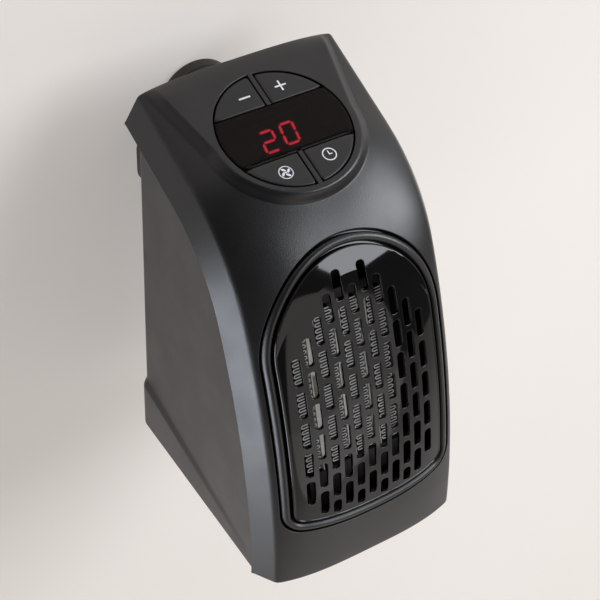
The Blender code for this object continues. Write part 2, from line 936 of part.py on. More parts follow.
def build_fascia_sheet():
    """The curved front with its openings, creases and raised control pad."""
    count_v = round(profile.length / grid_pitch)
    levels = [profile.length * i / count_v for i in range(count_v + 1)]
    count_u = round(crease_half_width / grid_pitch)
    pitch_u = crease_half_width / count_u
    middle = [pitch_u * i for i in range(-count_u + 1, count_u)]
    inner_bend = crease_half_width - inner_bend_share * fascia_wall
    lines = []
    for u in (inner_bend, crease_half_width, sheet_half_width):
        lines += [[(-u, v) for v in levels], [(u, v) for v in levels]]
    right = [inner_bend, crease_half_width, sheet_half_width]
    across = [-u for u in reversed(right)] + middle + right
    lines += [[(u, v) for u in across] for v in (0.0, profile.length)]
    features = [closed(arch_outline(-opening_gap))]
    holes = [arch_outline(-opening_gap)]
    for name in button_corners:
        hole = on_face(sector_of(name, panel_opening_radius, 0.0))
        holes.append(hole)
        features.append(closed(hole))
    window = rounded_rectangle(
        display_window_half_width,
        display_window_half_height,
        button_chamfer,
        1,
    )
    holes.append(on_face(window))
    features.append(closed(on_face(window)))
    for step in (0.0, grille_edge_step):
        pocket = lens_outline(panel_opening_radius - step, divider_gap + step / 2 - step)
        features.append(closed(on_face(pocket)))
    for share in pad_rim_shares:
        radius = pad_radius + pad_blend * share
        half = pad_top_half_width + pad_blend * share
        side_steps = 4
        right = [
            (radius + (half - radius) * i / side_steps, panel_top_up * i / side_steps)
            for i in range(side_steps, 0, -1)
        ]
        rim = right + arc(radius, 0.0, -math.pi, 14) + [(-x, up) for x, up in reversed(right)]
        spots = on_face(rim)
        spots[0] = (spots[0][0], 0.0)
        spots[-1] = (spots[-1][0], 0.0)
        features.append(spots)
    grid = [(u, v) for u in middle for v in levels[1:-1]]
    points = clear_points(grid, features, grid_clear)

    def keep(u, v):
        return not any(inside(u, v, hole) for hole in holes)

    flat, triangles = sheet(points, lines + features, keep)

    def top(u, v):
        return face_point(u, v, panel_drop(u, v))

    def bottom(u, v):
        drop = panel_drop(u, v)
        return face_point(u, v, max(fascia_wall, drop + lens_shelf_wall if drop else 0.0))

    return plate(flat, triangles, top, bottom)


def build_ledge_and_collar():
    """Ledge that seats the grille, with the collar that meets the core frame."""
    shelf = grille_flange_top + grille_flange_thickness + clearance
    under = shelf + ledge_thickness
    outer = arch_ring(-ledge_outset, sink * 2)
    inner = arch_ring(-collar_inner_outset, sink * 2)
    step = arch_ring(-collar_inner_outset, shelf)
    lip = arch_ring(ledge_inset, shelf)
    lip_under = arch_ring(ledge_inset, under)
    wall = arch_ring(-collar_inner_outset, under)

    def drop_to_core(ring):
        ends = []
        for point in ring:
            local = core_local(point)
            ends.append(core_frame @ Vector((local.x, local.y, collar_end)))
        return ends

    rings = [outer, inner, step, lip, lip_under, wall, drop_to_core(wall), drop_to_core(outer)]
    return loft([list(points) for points in zip(*rings)], closed=True)


def fascia_inner_y(x, z):
    """Y of the fascia's inner surface at a place on the front, by halving."""
    low, high = panel_from_back, profile.length
    for _ in range(40):
        v = (low + high) / 2
        if face_point(x, v, fascia_wall).z > z:
            low = v
        else:
            high = v
    return face_point(x, low, fascia_wall).y


def post_places():
    """The posts' (x, z) places and the y at which post and boss meet."""
    for side in (-1, 1):
        for z, length in ((post_upper_z, upper_boss_length), (post_lower_z, lower_boss_length)):
            yield side * post_x, z, fascia_inner_y(post_x, z) + length


def build_fascia():
    shape = build_fascia_sheet()
    tools = [build_ledge_and_collar()]
    for x, z, end_y in post_places():
        ring = circle(boss_radius, 10, (x, z))
        start = [(a, b, -end_y + clearance) for a, b in ring]
        end = [(a, b, sink - fascia_inner_y(a, b)) for a, b in ring]
        tools.append(loft([start, end], plug_frame))
    for side in (-1, 1):
        x = side * board_screw_x
        low = -board_depth + clearance
        high = panel_boss_top(x)
        tools.append(cylinder(boss_radius, low, high, panel_frame, 10, (x, 0.0)))
    shape = boolean(shape, tools, "UNION")
    holes = []
    bore = screw_shank_radius + clearance
    for x, z, end_y in post_places():
        deep = -end_y + screw_length
        holes.append(cylinder(bore, -end_y - overrun, deep, plug_frame, 8, (x, z)))
    for side in (-1, 1):
        x = side * board_screw_x
        low = -board_depth - overrun
        holes.append(cylinder(bore, low, panel_boss_top(x) - sink * 4, panel_frame, 8, (x, 0.0)))
    return boolean(shape, holes)


def panel_boss_top(x):
    """Height in panel axes at which a boss ends inside the fascia's wall."""
    u, v = face_place(x, 0.0)
    local = panel_frame.inverted() @ face_point(u, v, fascia_wall - sink)
    return local.z


def build_ring():
    points = [
        (ring_outer_inset, ring_depth),
        (ring_outer_inset, ring_edge_drop),
        (ring_outer_inset + ring_shoulder, -ring_crown),
        (ring_inner_inset - ring_shoulder, -ring_crown),
        (ring_inner_inset, ring_edge_drop * 2),
        (ring_inner_inset, ring_depth),
    ]
    return arch_sweep(points)


def field_outline():
    """Edge of the flat slotted field: a lower arc inside the arch."""
    points = []
    for x, v in arch_outline(grille_field_inset):
        reach = math.hypot(x, v - field_centre_v)
        if v < field_centre_v and reach > field_radius:
            x *= field_radius / reach
            v = field_centre_v + (v - field_centre_v) * field_radius / reach
        points.append((x, v))
    return points


def slot_outline(x, low, high):
    radius = slot_width / 2
    points = []
    for i in range(slot_end_segments + 1):
        angle = math.pi * i / slot_end_segments
        points.append((x + radius * math.cos(angle), high - radius + radius * math.sin(angle)))
    for i in range(slot_end_segments + 1):
        angle = math.pi + math.pi * i / slot_end_segments
        points.append((x + radius * math.cos(angle), low + radius + radius * math.sin(angle)))
    return points


def slot_outlines():
    """Staggered columns of upright slots, the top two of them longer."""
    found = []
    reach = int((arch_radius - grille_field_inset - slot_width) / slot_column_pitch)
    bow = arch_bow_radius - grille_field_inset
    for column in range(-reach, reach + 1):
        x = column * slot_column_pitch
        middle = slot_first_v + slot_row_pitch / 2 * max(abs(column) - 1, 1 - abs(column))
        lowest = bow_centre_v + math.sqrt(bow * bow - x * x) - slot_end_margin
        extra = slot_long_extra if abs(column) == 1 else 0.0
        while middle - slot_length / 2 + slot_shortest < lowest:
            low = middle - slot_length / 2 - extra
            high = min(middle + slot_length / 2, lowest)
            found.append(slot_outline(x, low, high))
            middle += slot_row_pitch
            extra = 0.0
    return found


def grille_top_depth(x, v):
    """Depth of the grille's face: flange, rim, dished border, flat field."""
    inset = arch_inset(x, v)
    if inset < grille_inset - grille_edge_step / 2:
        return grille_flange_top
    if inset < grille_inset + grille_rim / 2:
        return grille_rim_drop
    if inset < grille_inset + grille_rim_reach:
        return 0.0
    reach = math.hypot(x, v - field_centre_v) - field_radius
    if v > field_centre_v or reach <= 0.0:
        return grille_field_drop
    border = inset - grille_inset - grille_rim
    return grille_field_drop * (1.0 - reach / (reach + border))


def build_grille():
    outer = arch_outline(grille_flange_inset)
    slots = slot_outlines()
    lines = [
        closed(outer),
        closed(arch_outline(grille_inset - grille_edge_step)),
        closed(arch_outline(grille_inset)),
        closed(arch_outline(grille_inset + grille_rim)),
        closed(field_outline()),
        *[closed(slot) for slot in slots],
    ]

    def keep(x, v):
        if arch_inset(x, v) > grille_inset + grille_rim / 2:
            return not any(inside(x, v, slot) for slot in slots)
        return inside(x, v, outer)

    flat, triangles = sheet([], lines, keep)

    def top(x, v):
        return face_point(x, v, grille_top_depth(x, v))

    def bottom(x, v):
        deep = grille_flange_top + grille_flange_thickness
        if arch_inset(x, v) > grille_inset + grille_rim_reach:
            deep = grille_field_drop + grille_thickness
        return face_point(x, v, deep)

    return plate(flat, triangles, top, bottom)


# Side walls of the rear housing
def seam_y(z):
    """Y of the seam between fascia and housing at a height, by halving."""
    low, high = 0.0, profile.length + sheet_half_width
    for _ in range(40):
        v = (low + high) / 2
        if lifted(v, -flank_drop)[1] > z:
            low = v
        else:
            high = v
    return lifted(low, -flank_drop)[0]


def side_half_width(y, z):
    """Half width of the housing: drafted sides with a proud skirt low down."""
    depth = min(seam_y(z), housing_back_y - side_reference_depth) - housing_back_y
    t = (y - housing_back_y) / depth
    fall = smoothstep((top_edge_z - z) / (top_edge_z - body_bottom_z))
    back = back_half_width_upper + (back_half_width_lower - back_half_width_upper) * fall
    front = seam_half_width - seam_side_inset
    line = skirt_back_z + (skirt_front_z - skirt_back_z) * t
    skirt = skirt_proud * smoothstep((line - z) / skirt_blend) * max(1.0 - t, 0.0)
    return back + (front - back) * t + skirt


def housing_ring(z, wall, lowered=0.0):
    """Plan outline of the housing at height z, as far inside as the wall says."""
    back = housing_back_y - wall - lowered
    radius = max(back_corner_radius - wall, back_corner_radius / 4)
    front = face_point(0.0, profile.length, 0.0).y - overrun
    edge = back - radius
    stations = [edge, *[edge + (front - edge) * share for share in station_shares], front]
    right = []
    for y in reversed(stations):
        right.append((side_half_width(y, z) - wall - lowered, y))
    edge = right[-1][0]
    for i in range(1, 4):
        angle = math.pi / 2 * i / 3
        right.append((edge - radius + radius * math.cos(angle), back - radius + radius * math.sin(angle)))
    left = [(-x, y) for x, y in reversed(right)]
    return [(x, y, z) for x, y in right + left]


def housing_levels():
    """Heights of the housing's sections, close together where the skirt steps out."""
    low = body_bottom_z + bottom_edge_radius
    start = max(skirt_front_z - skirt_blend, low + bottom_edge_radius / 2)
    rise = (skirt_back_z + bottom_edge_radius - start) / skirt_levels
    levels = [low, *[start + rise * i for i in range(skirt_levels + 1)]]
    height = housing_top_z - levels[-1]
    upper = [levels[-1] + height * share for share in upper_level_shares]
    return [*levels, *upper, housing_top_z]


def build_housing_cutter():
    """Everything in front of the fascia's inner surface, plus a clearance."""
    deep = fascia_wall + housing_gap
    rim_x = seam_half_width - fascia_rim_wall - clearance
    outside = seam_half_width + side_reference_depth
    count_u = round(crease_half_width / grid_pitch)
    spots = [crease_half_width * i / count_u for i in range(count_u + 1)]
    count_v = round(profile.length / grid_pitch)
    rows = []
    for i in range(count_v + 1):
        v = profile.length * i / count_v
        half = [face_point(u, v, deep) for u in spots]
        half.append(over_crease(rim_x, v, -flank_drop - clearance))
        half.append(over_crease(outside, v, -flank_drop - clearance))
        half.append(over_crease(outside, v, profile.length / 2))
        mirrored = [Vector((-p.x, p.y, p.z)) for p in reversed(half[1:])]
        rows.append(mirrored + half)
    behind = [p + Vector((0.0, overrun, 0.0)) for p in rows[0]]
    under = [p - Vector((0.0, 0.0, overrun)) for p in rows[-1]]
    return loft([behind, *rows, under])


def obround(centre_x, centre_y, half_length, half_height, steps=3):
    straight = half_length - half_height
    points = []
    for side, start in ((1, -0.25), (-1, 0.25)):
        for i in range(steps + 1):
            angle = math.tau * (start + 0.5 * i / steps)
            points.append(
                (
                    centre_x + side * straight + half_height * math.cos(angle),
                    centre_y + half_height * math.sin(angle),
                )
            )
    return points


def wall_frame():
    """Axes on the right-hand wall at the power switch, z pointing outwards."""
    step = wall_step_share * switch_half_width
    near = side_half_width(switch_y - step, switch_z)
    far = side_half_width(switch_y + step, switch_z)
    turn = math.atan2(near - far, 2 * step)
    centre = Vector((side_half_width(switch_y, switch_z), switch_y, switch_z))
    out = Vector((math.cos(turn), math.sin(turn), 0.0))
    up = Vector((0.0, 0.0, 1.0))
    across = up.cross(out)
    turned = Matrix((across, up, out)).transposed().to_4x4()
    return Matrix.Translation(centre) @ turned


def build_housing():
    rings = [housing_ring(body_bottom_z, 0.0, bottom_edge_radius * edge_round_share)]
    rings += [housing_ring(z, 0.0) for z in housing_levels()]
    shape = loft(rings)
    floor = body_bottom_z + housing_wall
    inner = [housing_ring(floor, housing_wall, bottom_edge_radius * edge_round_share)]
    inner += [housing_ring(z, housing_wall) for z in housing_levels()[1:-1]]
    inner.append(housing_ring(housing_top_z + overrun, housing_wall))
    shape = boolean(shape, [loft(inner)])
    inside_back = -housing_back_y + housing_wall
    tools = []
    for x, z, end_y in post_places():
        tools.append(
            cylinder(post_radius, inside_back - sink, -end_y, plug_frame, 12, (x, z))
        )
    for side in (-1, 1):
        for station in (-rib_station, rib_station):
            tools.append(build_rib(side, station))
    reach = side_half_width(shelf_back_y, shelf_top_z) - housing_wall + sink
    tools.append(
        block((-reach, reach), (shelf_front_y, shelf_back_y), (shelf_top_z - shelf_thickness, shelf_top_z))
    )
    tools += [build_stop(1), build_stop(-1)]
    shape = boolean(shape, tools, "UNION")
    holes = [build_housing_cutter()]
    well = post_radius - post_wall
    bore = screw_shank_radius + clearance
    for x, z, end_y in post_places():
        holes.append(
            cylinder(well, -housing_back_y - overrun, -end_y - post_floor, plug_frame, 10, (x, z))
        )
        holes.append(cylinder(bore, -end_y - overrun, -end_y + overrun, plug_frame, 8, (x, z)))
    hub_hole = hub_radius + hub_running_gap
    holes.append(cylinder(hub_hole, -housing_back_y - overrun, inside_back + overrun, plug_frame, 24))
    for row in range(intake_rows):
        z = intake_first_z - intake_pitch * row
        for side in (-1, 1):
            x = side * (intake_gap_half + intake_slot_length / 2)
            outline = obround(x, z, intake_slot_length / 2, intake_slot_height / 2)
            holes.append(
                prism(outline, -housing_back_y - overrun, inside_back + overrun, plug_frame)
            )
    window = rounded_rectangle(
        switch_half_width + clearance,
        switch_half_height + clearance,
        clearance,
        1,
    )
    holes.append(prism(window, -housing_wall - overrun, overrun, wall_frame()))
    pass_through = (lead_pass_x, (shelf_front_y + shelf_back_y) / 2)
    holes.append(
        cylinder(
            lead_pass_radius,
            shelf_top_z - shelf_thickness - overrun,
            shelf_top_z + overrun,
            segments=10,
            centre=pass_through,
        )
    )
    return boolean(shape, holes)


def build_rib(side, station):
    """Rib on a side wall that holds the core frame against the collar."""
    outer = seam_half_width - fascia_rim_wall
    inner = plate_half_width() - rib_reach + rib_thickness
    spans = (side * inner, side * outer) if side > 0 else (side * outer, side * inner)
    high = -frame_plate_half - clearance
    return block(
        spans,
        (station - rib_thickness / 2, station + rib_thickness / 2),
        (high - rib_depth, high),
        core_frame,
    )


def plate_half_width():
    return arch_radius + frame_plate_outset


def ring_sector(inner, outer, start, end, low, high, steps=3):
    outline = arc(outer, start, end, steps) + list(reversed(arc(inner, start, end, steps)))
    return prism(outline, low, high, plug_frame)


def build_stop(side):
    """Stop block inside the back wall that ends the swivel."""
    inside_back = -housing_back_y + housing_wall
    centre = -math.pi / 2 + side * (swivel_limit + 2 * stop_half_angle + stop_margin)
    return ring_sector(
        retainer_radius + clearance * 2,
        retainer_radius + stop_reach + clearance,
        centre - stop_half_angle,
        centre + stop_half_angle,
        inside_back - sink,
        inside_back + clearance * 2 + retainer_thickness,
    )


# Plug parts
def plug_outline(inset, steps=10):
    """Pin face outline: narrow round top, wide lower part, rounded corners."""
    radius = plug_top_radius - inset
    centre_z = plug_top_z - plug_top_radius
    side = plug_half_width - inset
    corner = plug_corner_radius - inset
    low = plug_bottom_z + inset
    points = []
    for i in range(5):
        angle = -math.pi / 2 + math.pi / 2 * i / 4
        points.append(
            (
                side - corner + corner * math.cos(angle),
                low + corner + corner * math.sin(angle),
            )
        )
    points.append((side, plug_wide_z))
    lean = math.atan2(side - radius, centre_z - plug_wide_z)
    for i in range(steps + 1):
        angle = lean * 0.5 + (math.pi - lean) * i / steps
        points.append((radius * math.cos(angle), centre_z + radius * math.sin(angle)))
    points.append((-side, plug_wide_z))
    for i in range(5):
        angle = math.pi + math.pi / 2 * i / 4
        points.append(
            (
                -side + corner + corner * math.cos(angle),
                low + corner + corner * math.sin(angle),
            )
        )
    return points


pin_places = {
    "earth_pin": (0.0, pin_offset_z, earth_pin_width, earth_pin_height, earth_pin_length),
    "live_pin": (pin_offset_x, -pin_offset_z, line_pin_width, line_pin_height, line_pin_length),
    "neutral_pin": (-pin_offset_x, -pin_offset_z, line_pin_width, line_pin_height, line_pin_length),
}


def rectangle(centre_x, centre_y, half_x, half_y):
    return [
        (centre_x + half_x, centre_y - half_y),
        (centre_x + half_x, centre_y + half_y),
        (centre_x - half_x, centre_y + half_y),
        (centre_x - half_x, centre_y - half_y),
    ]


def build_pin(name):
    x, z, width, height, length = pin_places[name]
    full = rectangle(x, z, width / 2, height / 2)
    nose = rectangle(x, z, width / 2 - pin_nose / 2, height / 2 - pin_nose / 2)
    rings = [[(a, b, -length) for a, b in nose], [(a, b, -length + pin_nose) for a, b in full]]
    if name != "earth_pin":
        neck = sleeve_wall + clearance
        slim = rectangle(x, z, width / 2 - neck, height / 2 - neck)
        rings += [
            [(a, b, -sleeve_length - clearance) for a, b in full],
            [(a, b, -sleeve_length - clearance) for a, b in slim],
            [(a, b, plug_base_depth + clearance) for a, b in slim],
            [(a, b, plug_base_depth + clearance) for a, b in full],
        ]
    rings.append([(a, b, pin_root) for a, b in full])
    return loft(rings, plug_frame)


def build_sleeve(name):
    x, z, width, height, _ = pin_places[name]
    outer = rectangle(x, z, width / 2, height / 2)
    inner = rectangle(x, z, width / 2 - sleeve_wall, height / 2 - sleeve_wall)
    return tube(outer, inner, -sleeve_length, plug_base_depth, plug_frame)


def build_plug_base():
    edge = plug_edge / 2
    rings = [
        [(x, z, 0.0) for x, z in plug_outline(edge)],
        [(x, z, edge) for x, z in plug_outline(0.0)],
        [(x, z, plug_base_depth) for x, z in plug_outline(0.0)],
    ]
    shape = loft(rings, plug_frame)
    holes = []
    for x, z, width, height, _ in pin_places.values():
        outline = rectangle(x, z, width / 2 + clearance, height / 2 + clearance)
        holes.append(prism(outline, -overrun, plug_base_depth + overrun, plug_frame))
    outline = rectangle(
        0.0,
        fuse_centre_z,
        carrier_half_length + clearance,
        carrier_half_height + clearance,
    )
    holes.append(prism(outline, -overrun, plug_base_depth + overrun, plug_frame))
    for side in (-1, 1):
        centre = (side * plug_screw_x, plug_screw_z)
        head = screw_head_radius + clearance
        seat = screw_head_height + clearance
        holes.append(cylinder(head, -overrun, seat + clearance, plug_frame, 10, centre))
        bore = screw_shank_radius + clearance
        holes.append(cylinder(bore, 0.0, plug_base_depth + overrun, plug_frame, 8, centre))
    return boolean(shape, holes)


def build_plug_shell():
    start = plug_base_depth + clearance
    edge = plug_edge
    soft = edge * plug_edge_share
    rings = [
        [(x, z, start) for x, z in plug_outline(0.0)],
        [(x, z, plug_depth - edge) for x, z in plug_outline(0.0)],
        [(x, z, plug_depth - soft) for x, z in plug_outline(soft)],
        [(x, z, plug_depth) for x, z in plug_outline(edge)],
    ]
    shape = loft(rings, plug_frame)
    hub_end = -housing_back_y + housing_wall + clearance
    hub = cylinder(hub_radius, plug_depth - edge, hub_end, plug_frame, 24)
    shape = boolean(shape, [hub], "UNION")
    cavity = [
        [(x, z, start - overrun) for x, z in plug_outline(plug_wall)],
        [(x, z, plug_cavity_end) for x, z in plug_outline(plug_wall)],
    ]
    shape = boolean(shape, [loft(cavity, plug_frame)])
    posts = []
    for side in (-1, 1):
        centre = (side * plug_screw_x, plug_screw_z)
        posts.append(cylinder(boss_radius, start, plug_cavity_end + sink, plug_frame, 10, centre))
    shape = boolean(shape, posts, "UNION")
    bore = screw_shank_radius + clearance
    holes = [cylinder(lead_bore, plug_cavity_end - overrun, hub_end + overrun, plug_frame, 12)]
    for side in (-1, 1):
        centre = (side * plug_screw_x, plug_screw_z)
        holes.append(cylinder(bore, start - overrun, start + screw_length, plug_frame, 8, centre))
        centre = (side * retainer_screw_radius, 0.0)
        deep = hub_end - screw_length + retainer_thickness
        holes.append(cylinder(bore, deep, hub_end + overrun, plug_frame, 8, centre))
    return boolean(shape, holes)


def build_carrier():
    outline = rectangle(0.0, fuse_centre_z, carrier_half_length, carrier_half_height)
    shape = prism(outline, 0.0, carrier_height, plug_frame)
    hollow = rectangle(
        0.0,
        fuse_centre_z,
        carrier_half_length - carrier_wall,
        fuse_radius + clearance,
    )
    shape = boolean(
        shape,
        [prism(hollow, fuse_depth - fuse_radius - clearance, fuse_depth + overrun, plug_frame)],
    )
    return shape


def build_fuse():
    turned = plug_frame @ Matrix.Translation((0.0, fuse_centre_z, fuse_depth))
    turned = turned @ Matrix.Rotation(math.pi / 2, 4, "Y")
    cap = fuse_half_length * fuse_cap_share
    slim = fuse_radius * fuse_glass_share
    points = [
        (0.0, -fuse_half_length),
        (fuse_radius, -fuse_half_length),
        (fuse_radius, -cap),
        (slim, -cap),
        (slim, cap),
        (fuse_radius, cap),
        (fuse_radius, fuse_half_length),
        (0.0, fuse_half_length),
    ]
    return revolve(points, 10, turned)


def build_retainer():
    """Ring behind the back wall that keeps the hub in, with its stop lug."""
    low = -housing_back_y + housing_wall + clearance * 2
    high = low + retainer_thickness
    outer = circle(retainer_radius, 20)
    inner = circle(retainer_bore, 20)
    shape = tube(outer, inner, low, high, plug_frame)
    lug = ring_sector(
        retainer_radius - sink * 3,
        retainer_radius + stop_reach,
        -math.pi / 2 - stop_half_angle,
        -math.pi / 2 + stop_half_angle,
        low,
        high,
    )
    shape = boolean(shape, [lug], "UNION")
    bore = screw_shank_radius + clearance
    holes = []
    for side in (-1, 1):
        centre = (side * retainer_screw_radius, 0.0)
        holes.append(cylinder(bore, low - overrun, high + overrun, plug_frame, 8, centre))
    return boolean(shape, holes)


def build_screw(frame, length=screw_length):
    """Domed pan head at the frame's origin, shank along its +Z."""
    head = -screw_head_height
    points = [
        (0.0, head),
        (screw_head_radius * screw_crown_share, head),
        (screw_head_radius, 0.0),
        (screw_shank_radius, 0.0),
        (screw_shank_radius, length - screw_shank_radius),
        (0.0, length),
    ]
    return revolve(points, screw_segments, frame)


# Control panel parts
def build_button(name):
    """A quarter cap with a chamfered top, a hidden flange and a round stem."""
    gap = panel_edge_gap
    top = sector_of(name, panel_opening_radius - gap - button_chamfer, divider_gap + button_chamfer)
    cap = sector_of(name, panel_opening_radius - gap, divider_gap)
    flange = sector_of(name, panel_opening_radius + button_flange, divider_gap + clearance)
    low = -fascia_wall - clearance * 2
    under = low - button_flange_thickness
    rings = [
        [(x, y, low - sink) for x, y in cap],
        [(x, y, -button_chamfer) for x, y in cap],
        [(x, y, 0.0) for x, y in top],
    ]
    shape = boolean(loft(rings, panel_frame), [prism(flange, under, low, panel_frame)], "UNION")
    centre = centre_of(cap)
    stem = cylinder(
        button_stem_radius,
        under - button_stem_length,
        under + sink,
        panel_frame,
        10,
        centre,
    )
    return boolean(shape, [stem], "UNION")


def build_tact_switch(name):
    """Square switch whose bore takes the button's stem with room to travel."""
    x, y = centre_of(sector_of(name, panel_opening_radius - panel_edge_gap, divider_gap))
    low = -board_depth + clearance
    high = low + tact_height
    shape = prism(rectangle(x, y, tact_half, tact_half), low, high, panel_frame)
    stem_end = -fascia_wall - clearance * 2 - button_flange_thickness - button_stem_length
    deep = stem_end - button_travel - tact_bore_clearance
    bore = cylinder(
        button_stem_radius + tact_bore_clearance,
        deep,
        high + overrun,
        panel_frame,
        10,
        (x, y),
    )
    return boolean(shape, [bore])


def build_lens():
    outline = lens_outline(panel_opening_radius - panel_edge_gap, -lens_gap)
    edge = lens_outline(
        panel_opening_radius - panel_edge_gap - button_chamfer / 2,
        -lens_gap - button_chamfer / 2,
    )
    rings = [
        [(x, y, -lens_thickness) for x, y in outline],
        [(x, y, -button_chamfer / 2) for x, y in outline],
        [(x, y, 0.0) for x, y in edge],
    ]
    return loft(rings, panel_frame)


def build_board():
    outline = rounded_rectangle(board_half_width, board_half_height, board_corner)
    shape = prism(outline, -board_depth - board_thickness, -board_depth, panel_frame)
    holes = []
    for side in (-1, 1):
        holes.append(
            cylinder(
                screw_shank_radius + clearance,
                -board_depth - board_thickness - overrun,
                -board_depth + overrun,
                panel_frame,
                8,
                (side * board_screw_x, 0.0),
            )
        )
    return boolean(shape, holes)


def build_display():
    """Two-digit display block under the lens window, with its raised face."""
    high = -lens_thickness - clearance * 2
    shape = prism(
        rounded_rectangle(display_half_width, display_half_height, clearance, 1),
        -board_depth + clearance,
        high,
        panel_frame,
    )
    return shape


def board_part(size, centre):
    """A component that hangs under the control board."""
    high = -board_depth - board_thickness - clearance
    outline = rounded_rectangle(size[0] / 2, size[1] / 2, clearance * 3, 1, centre)
    return prism(outline, high - size[2], high, panel_frame)


# Heating core parts
def fin_centres():
    return [bar_pitch * (i - 1.5) for i in range(4)]


def fin_half_width():
    return (bar_pitch - bar_width) / 2 - clearance


def build_fin_pack(centre):
    """One strip folded to and fro between two heating bars."""
    half = fin_half_width()
    count = int(2 * core_half_length / fin_wall_pitch)
    start = -fin_wall_pitch * (count - 1) / 2
    right = fold_edge(count, start, half, 1)
    left = fold_edge(count, start, half, -1)
    outline = [(centre + x, y) for x, y in right + list(reversed(left))]
    return prism(outline, -core_half_depth, core_half_depth, core_frame)


def fold_edge(count, start, half, side):
    """The right or left edge line of the folded strip."""
    points = []
    inner = half - fin_strip
    for i in range(count):
        y = start + fin_wall_pitch * i
        joins_up = (i % 2 == 0) == (side > 0)
        low = y - fin_strip / 2
        high = y + fin_strip / 2
        if joins_up:
            points.append((side * half, low))
            if i == count - 1:
                points.append((side * half, high))
            else:
                continue
        elif i == 0:
            points += [(side * half, low), (side * half, high), (side * -inner, high)]
        else:
            points += [(side * half, high), (side * -inner, high)]
        if i < count - 1:
            points.append((side * -inner, y + fin_wall_pitch - fin_strip / 2))
    return points


def build_core_frame():
    """Plate behind the collar with a window for the core and the fan plenum."""
    outline = []
    for x, v in arch_outline(-frame_plate_outset):
        local = core_local(face_point(x, v, grille_flange_top))
        outline.append((local.x, local.y))
    shape = prism(outline, -frame_plate_half, frame_plate_half, core_frame)
    walls = tube(
        rectangle(0.0, 0.0, plenum_half_width, plenum_half_height),
        rectangle(0.0, 0.0, plenum_half_width - plenum_wall, plenum_half_height - plenum_wall),
        -frame_plate_half - plenum_depth,
        -frame_plate_half + sink,
        core_frame,
    )
    bosses = [walls]
    for x, y in fan_screw_places():
        bosses.append(
            cylinder(
                fan_boss_radius,
                -frame_plate_half - plenum_depth + sink / 2,
                -frame_plate_half + sink / 2,
                core_frame,
                8,
                (x, y),
            )
        )
    shape = boolean(shape, bosses, "UNION")
    half = core_half_width + frame_window_margin
    window = prism(
        rectangle(0.0, 0.0, half, core_half_length + frame_window_margin),
        -plenum_depth,
        overrun,
        core_frame,
    )
    holes = [window]
    for x, y in fan_screw_places():
        holes.append(
            cylinder(
                screw_shank_radius + clearance,
                -frame_plate_half - plenum_depth - overrun,
                -frame_plate_half - plenum_depth + screw_length,
                core_frame,
                8,
                (x, y),
            )
        )
    return boolean(shape, holes)


def fan_screw_places():
    x = plenum_half_width - fan_screw_inset
    y = plenum_half_height - fan_screw_inset
    return [(x, y), (-x, -y)]


fan_face = -frame_plate_half - plenum_depth - clearance
fan_back = fan_face - fan_plate - fan_shroud_depth


def build_fan_frame():
    """Square plate, round shroud, four arms and the bearing tube."""
    hole = fan_radius + fan_tip_clearance
    shape = prism(
        rectangle(0.0, 0.0, plenum_half_width, plenum_half_height),
        fan_face - fan_plate,
        fan_face,
        core_frame,
    )
    tools = [cylinder(hole + fan_shroud_wall, fan_back, fan_face - sink, core_frame, 24)]
    shape = boolean(shape, tools, "UNION")
    opening = cylinder(hole, fan_back - overrun, fan_face + overrun, core_frame, 24)
    shape = boolean(shape, [opening])
    arm_high = fan_back + fan_arm_thickness
    tools = []
    reach = hole + fan_shroud_wall / 2
    half = fan_arm_width / 2
    for number in range(4):
        turn = Matrix.Rotation(math.tau * (number + 0.5) / 4, 4, "Z")
        spans = ((fan_hub_radius * arm_root_share, reach), (-half, half))
        arm = block(*spans, (fan_back + sink / 2, arm_high - sink / 2), core_frame @ turn)
        tools.append(arm)
    tools.append(cylinder(fan_hub_radius, fan_back, arm_high, core_frame, 16))
    tube_radius = fan_bearing_radius + clearance + fan_tube_wall
    tube_top = fan_cup_front() - fan_cup_wall - clearance * 2
    tools.append(cylinder(tube_radius, arm_high - sink, tube_top, core_frame, 12))
    shape = boolean(shape, tools, "UNION")
    bore = fan_bearing_radius + clearance
    holes = [cylinder(bore, fan_back + fan_arm_thickness / 2, tube_top + overrun, core_frame, 12)]
    for x, y in fan_screw_places():
        holes.append(
            cylinder(
                screw_shank_radius + clearance,
                fan_face - fan_plate - overrun,
                fan_face + overrun,
                core_frame,
                8,
                (x, y),
            )
        )
    return boolean(shape, holes)


def fan_cup_front():
    return fan_face - fan_cup_setback


def build_bearing():
    tube_top = fan_cup_front() - fan_cup_wall - clearance * 2
    low = fan_back + fan_arm_thickness / 2 + clearance
    outer = circle(fan_bearing_radius, 12)
    inner = circle(fan_shaft_radius + clearance, 12)
    return tube(outer, inner, low, tube_top, core_frame)


def build_stator():
    low = fan_back + fan_arm_thickness + clearance
    inner = fan_bearing_radius + clearance * 2 + fan_tube_wall
    outer = fan_hub_radius - fan_cup_wall - clearance * 2
    return tube(circle(outer, 16), circle(inner, 16), low, low + stator_depth, core_frame)


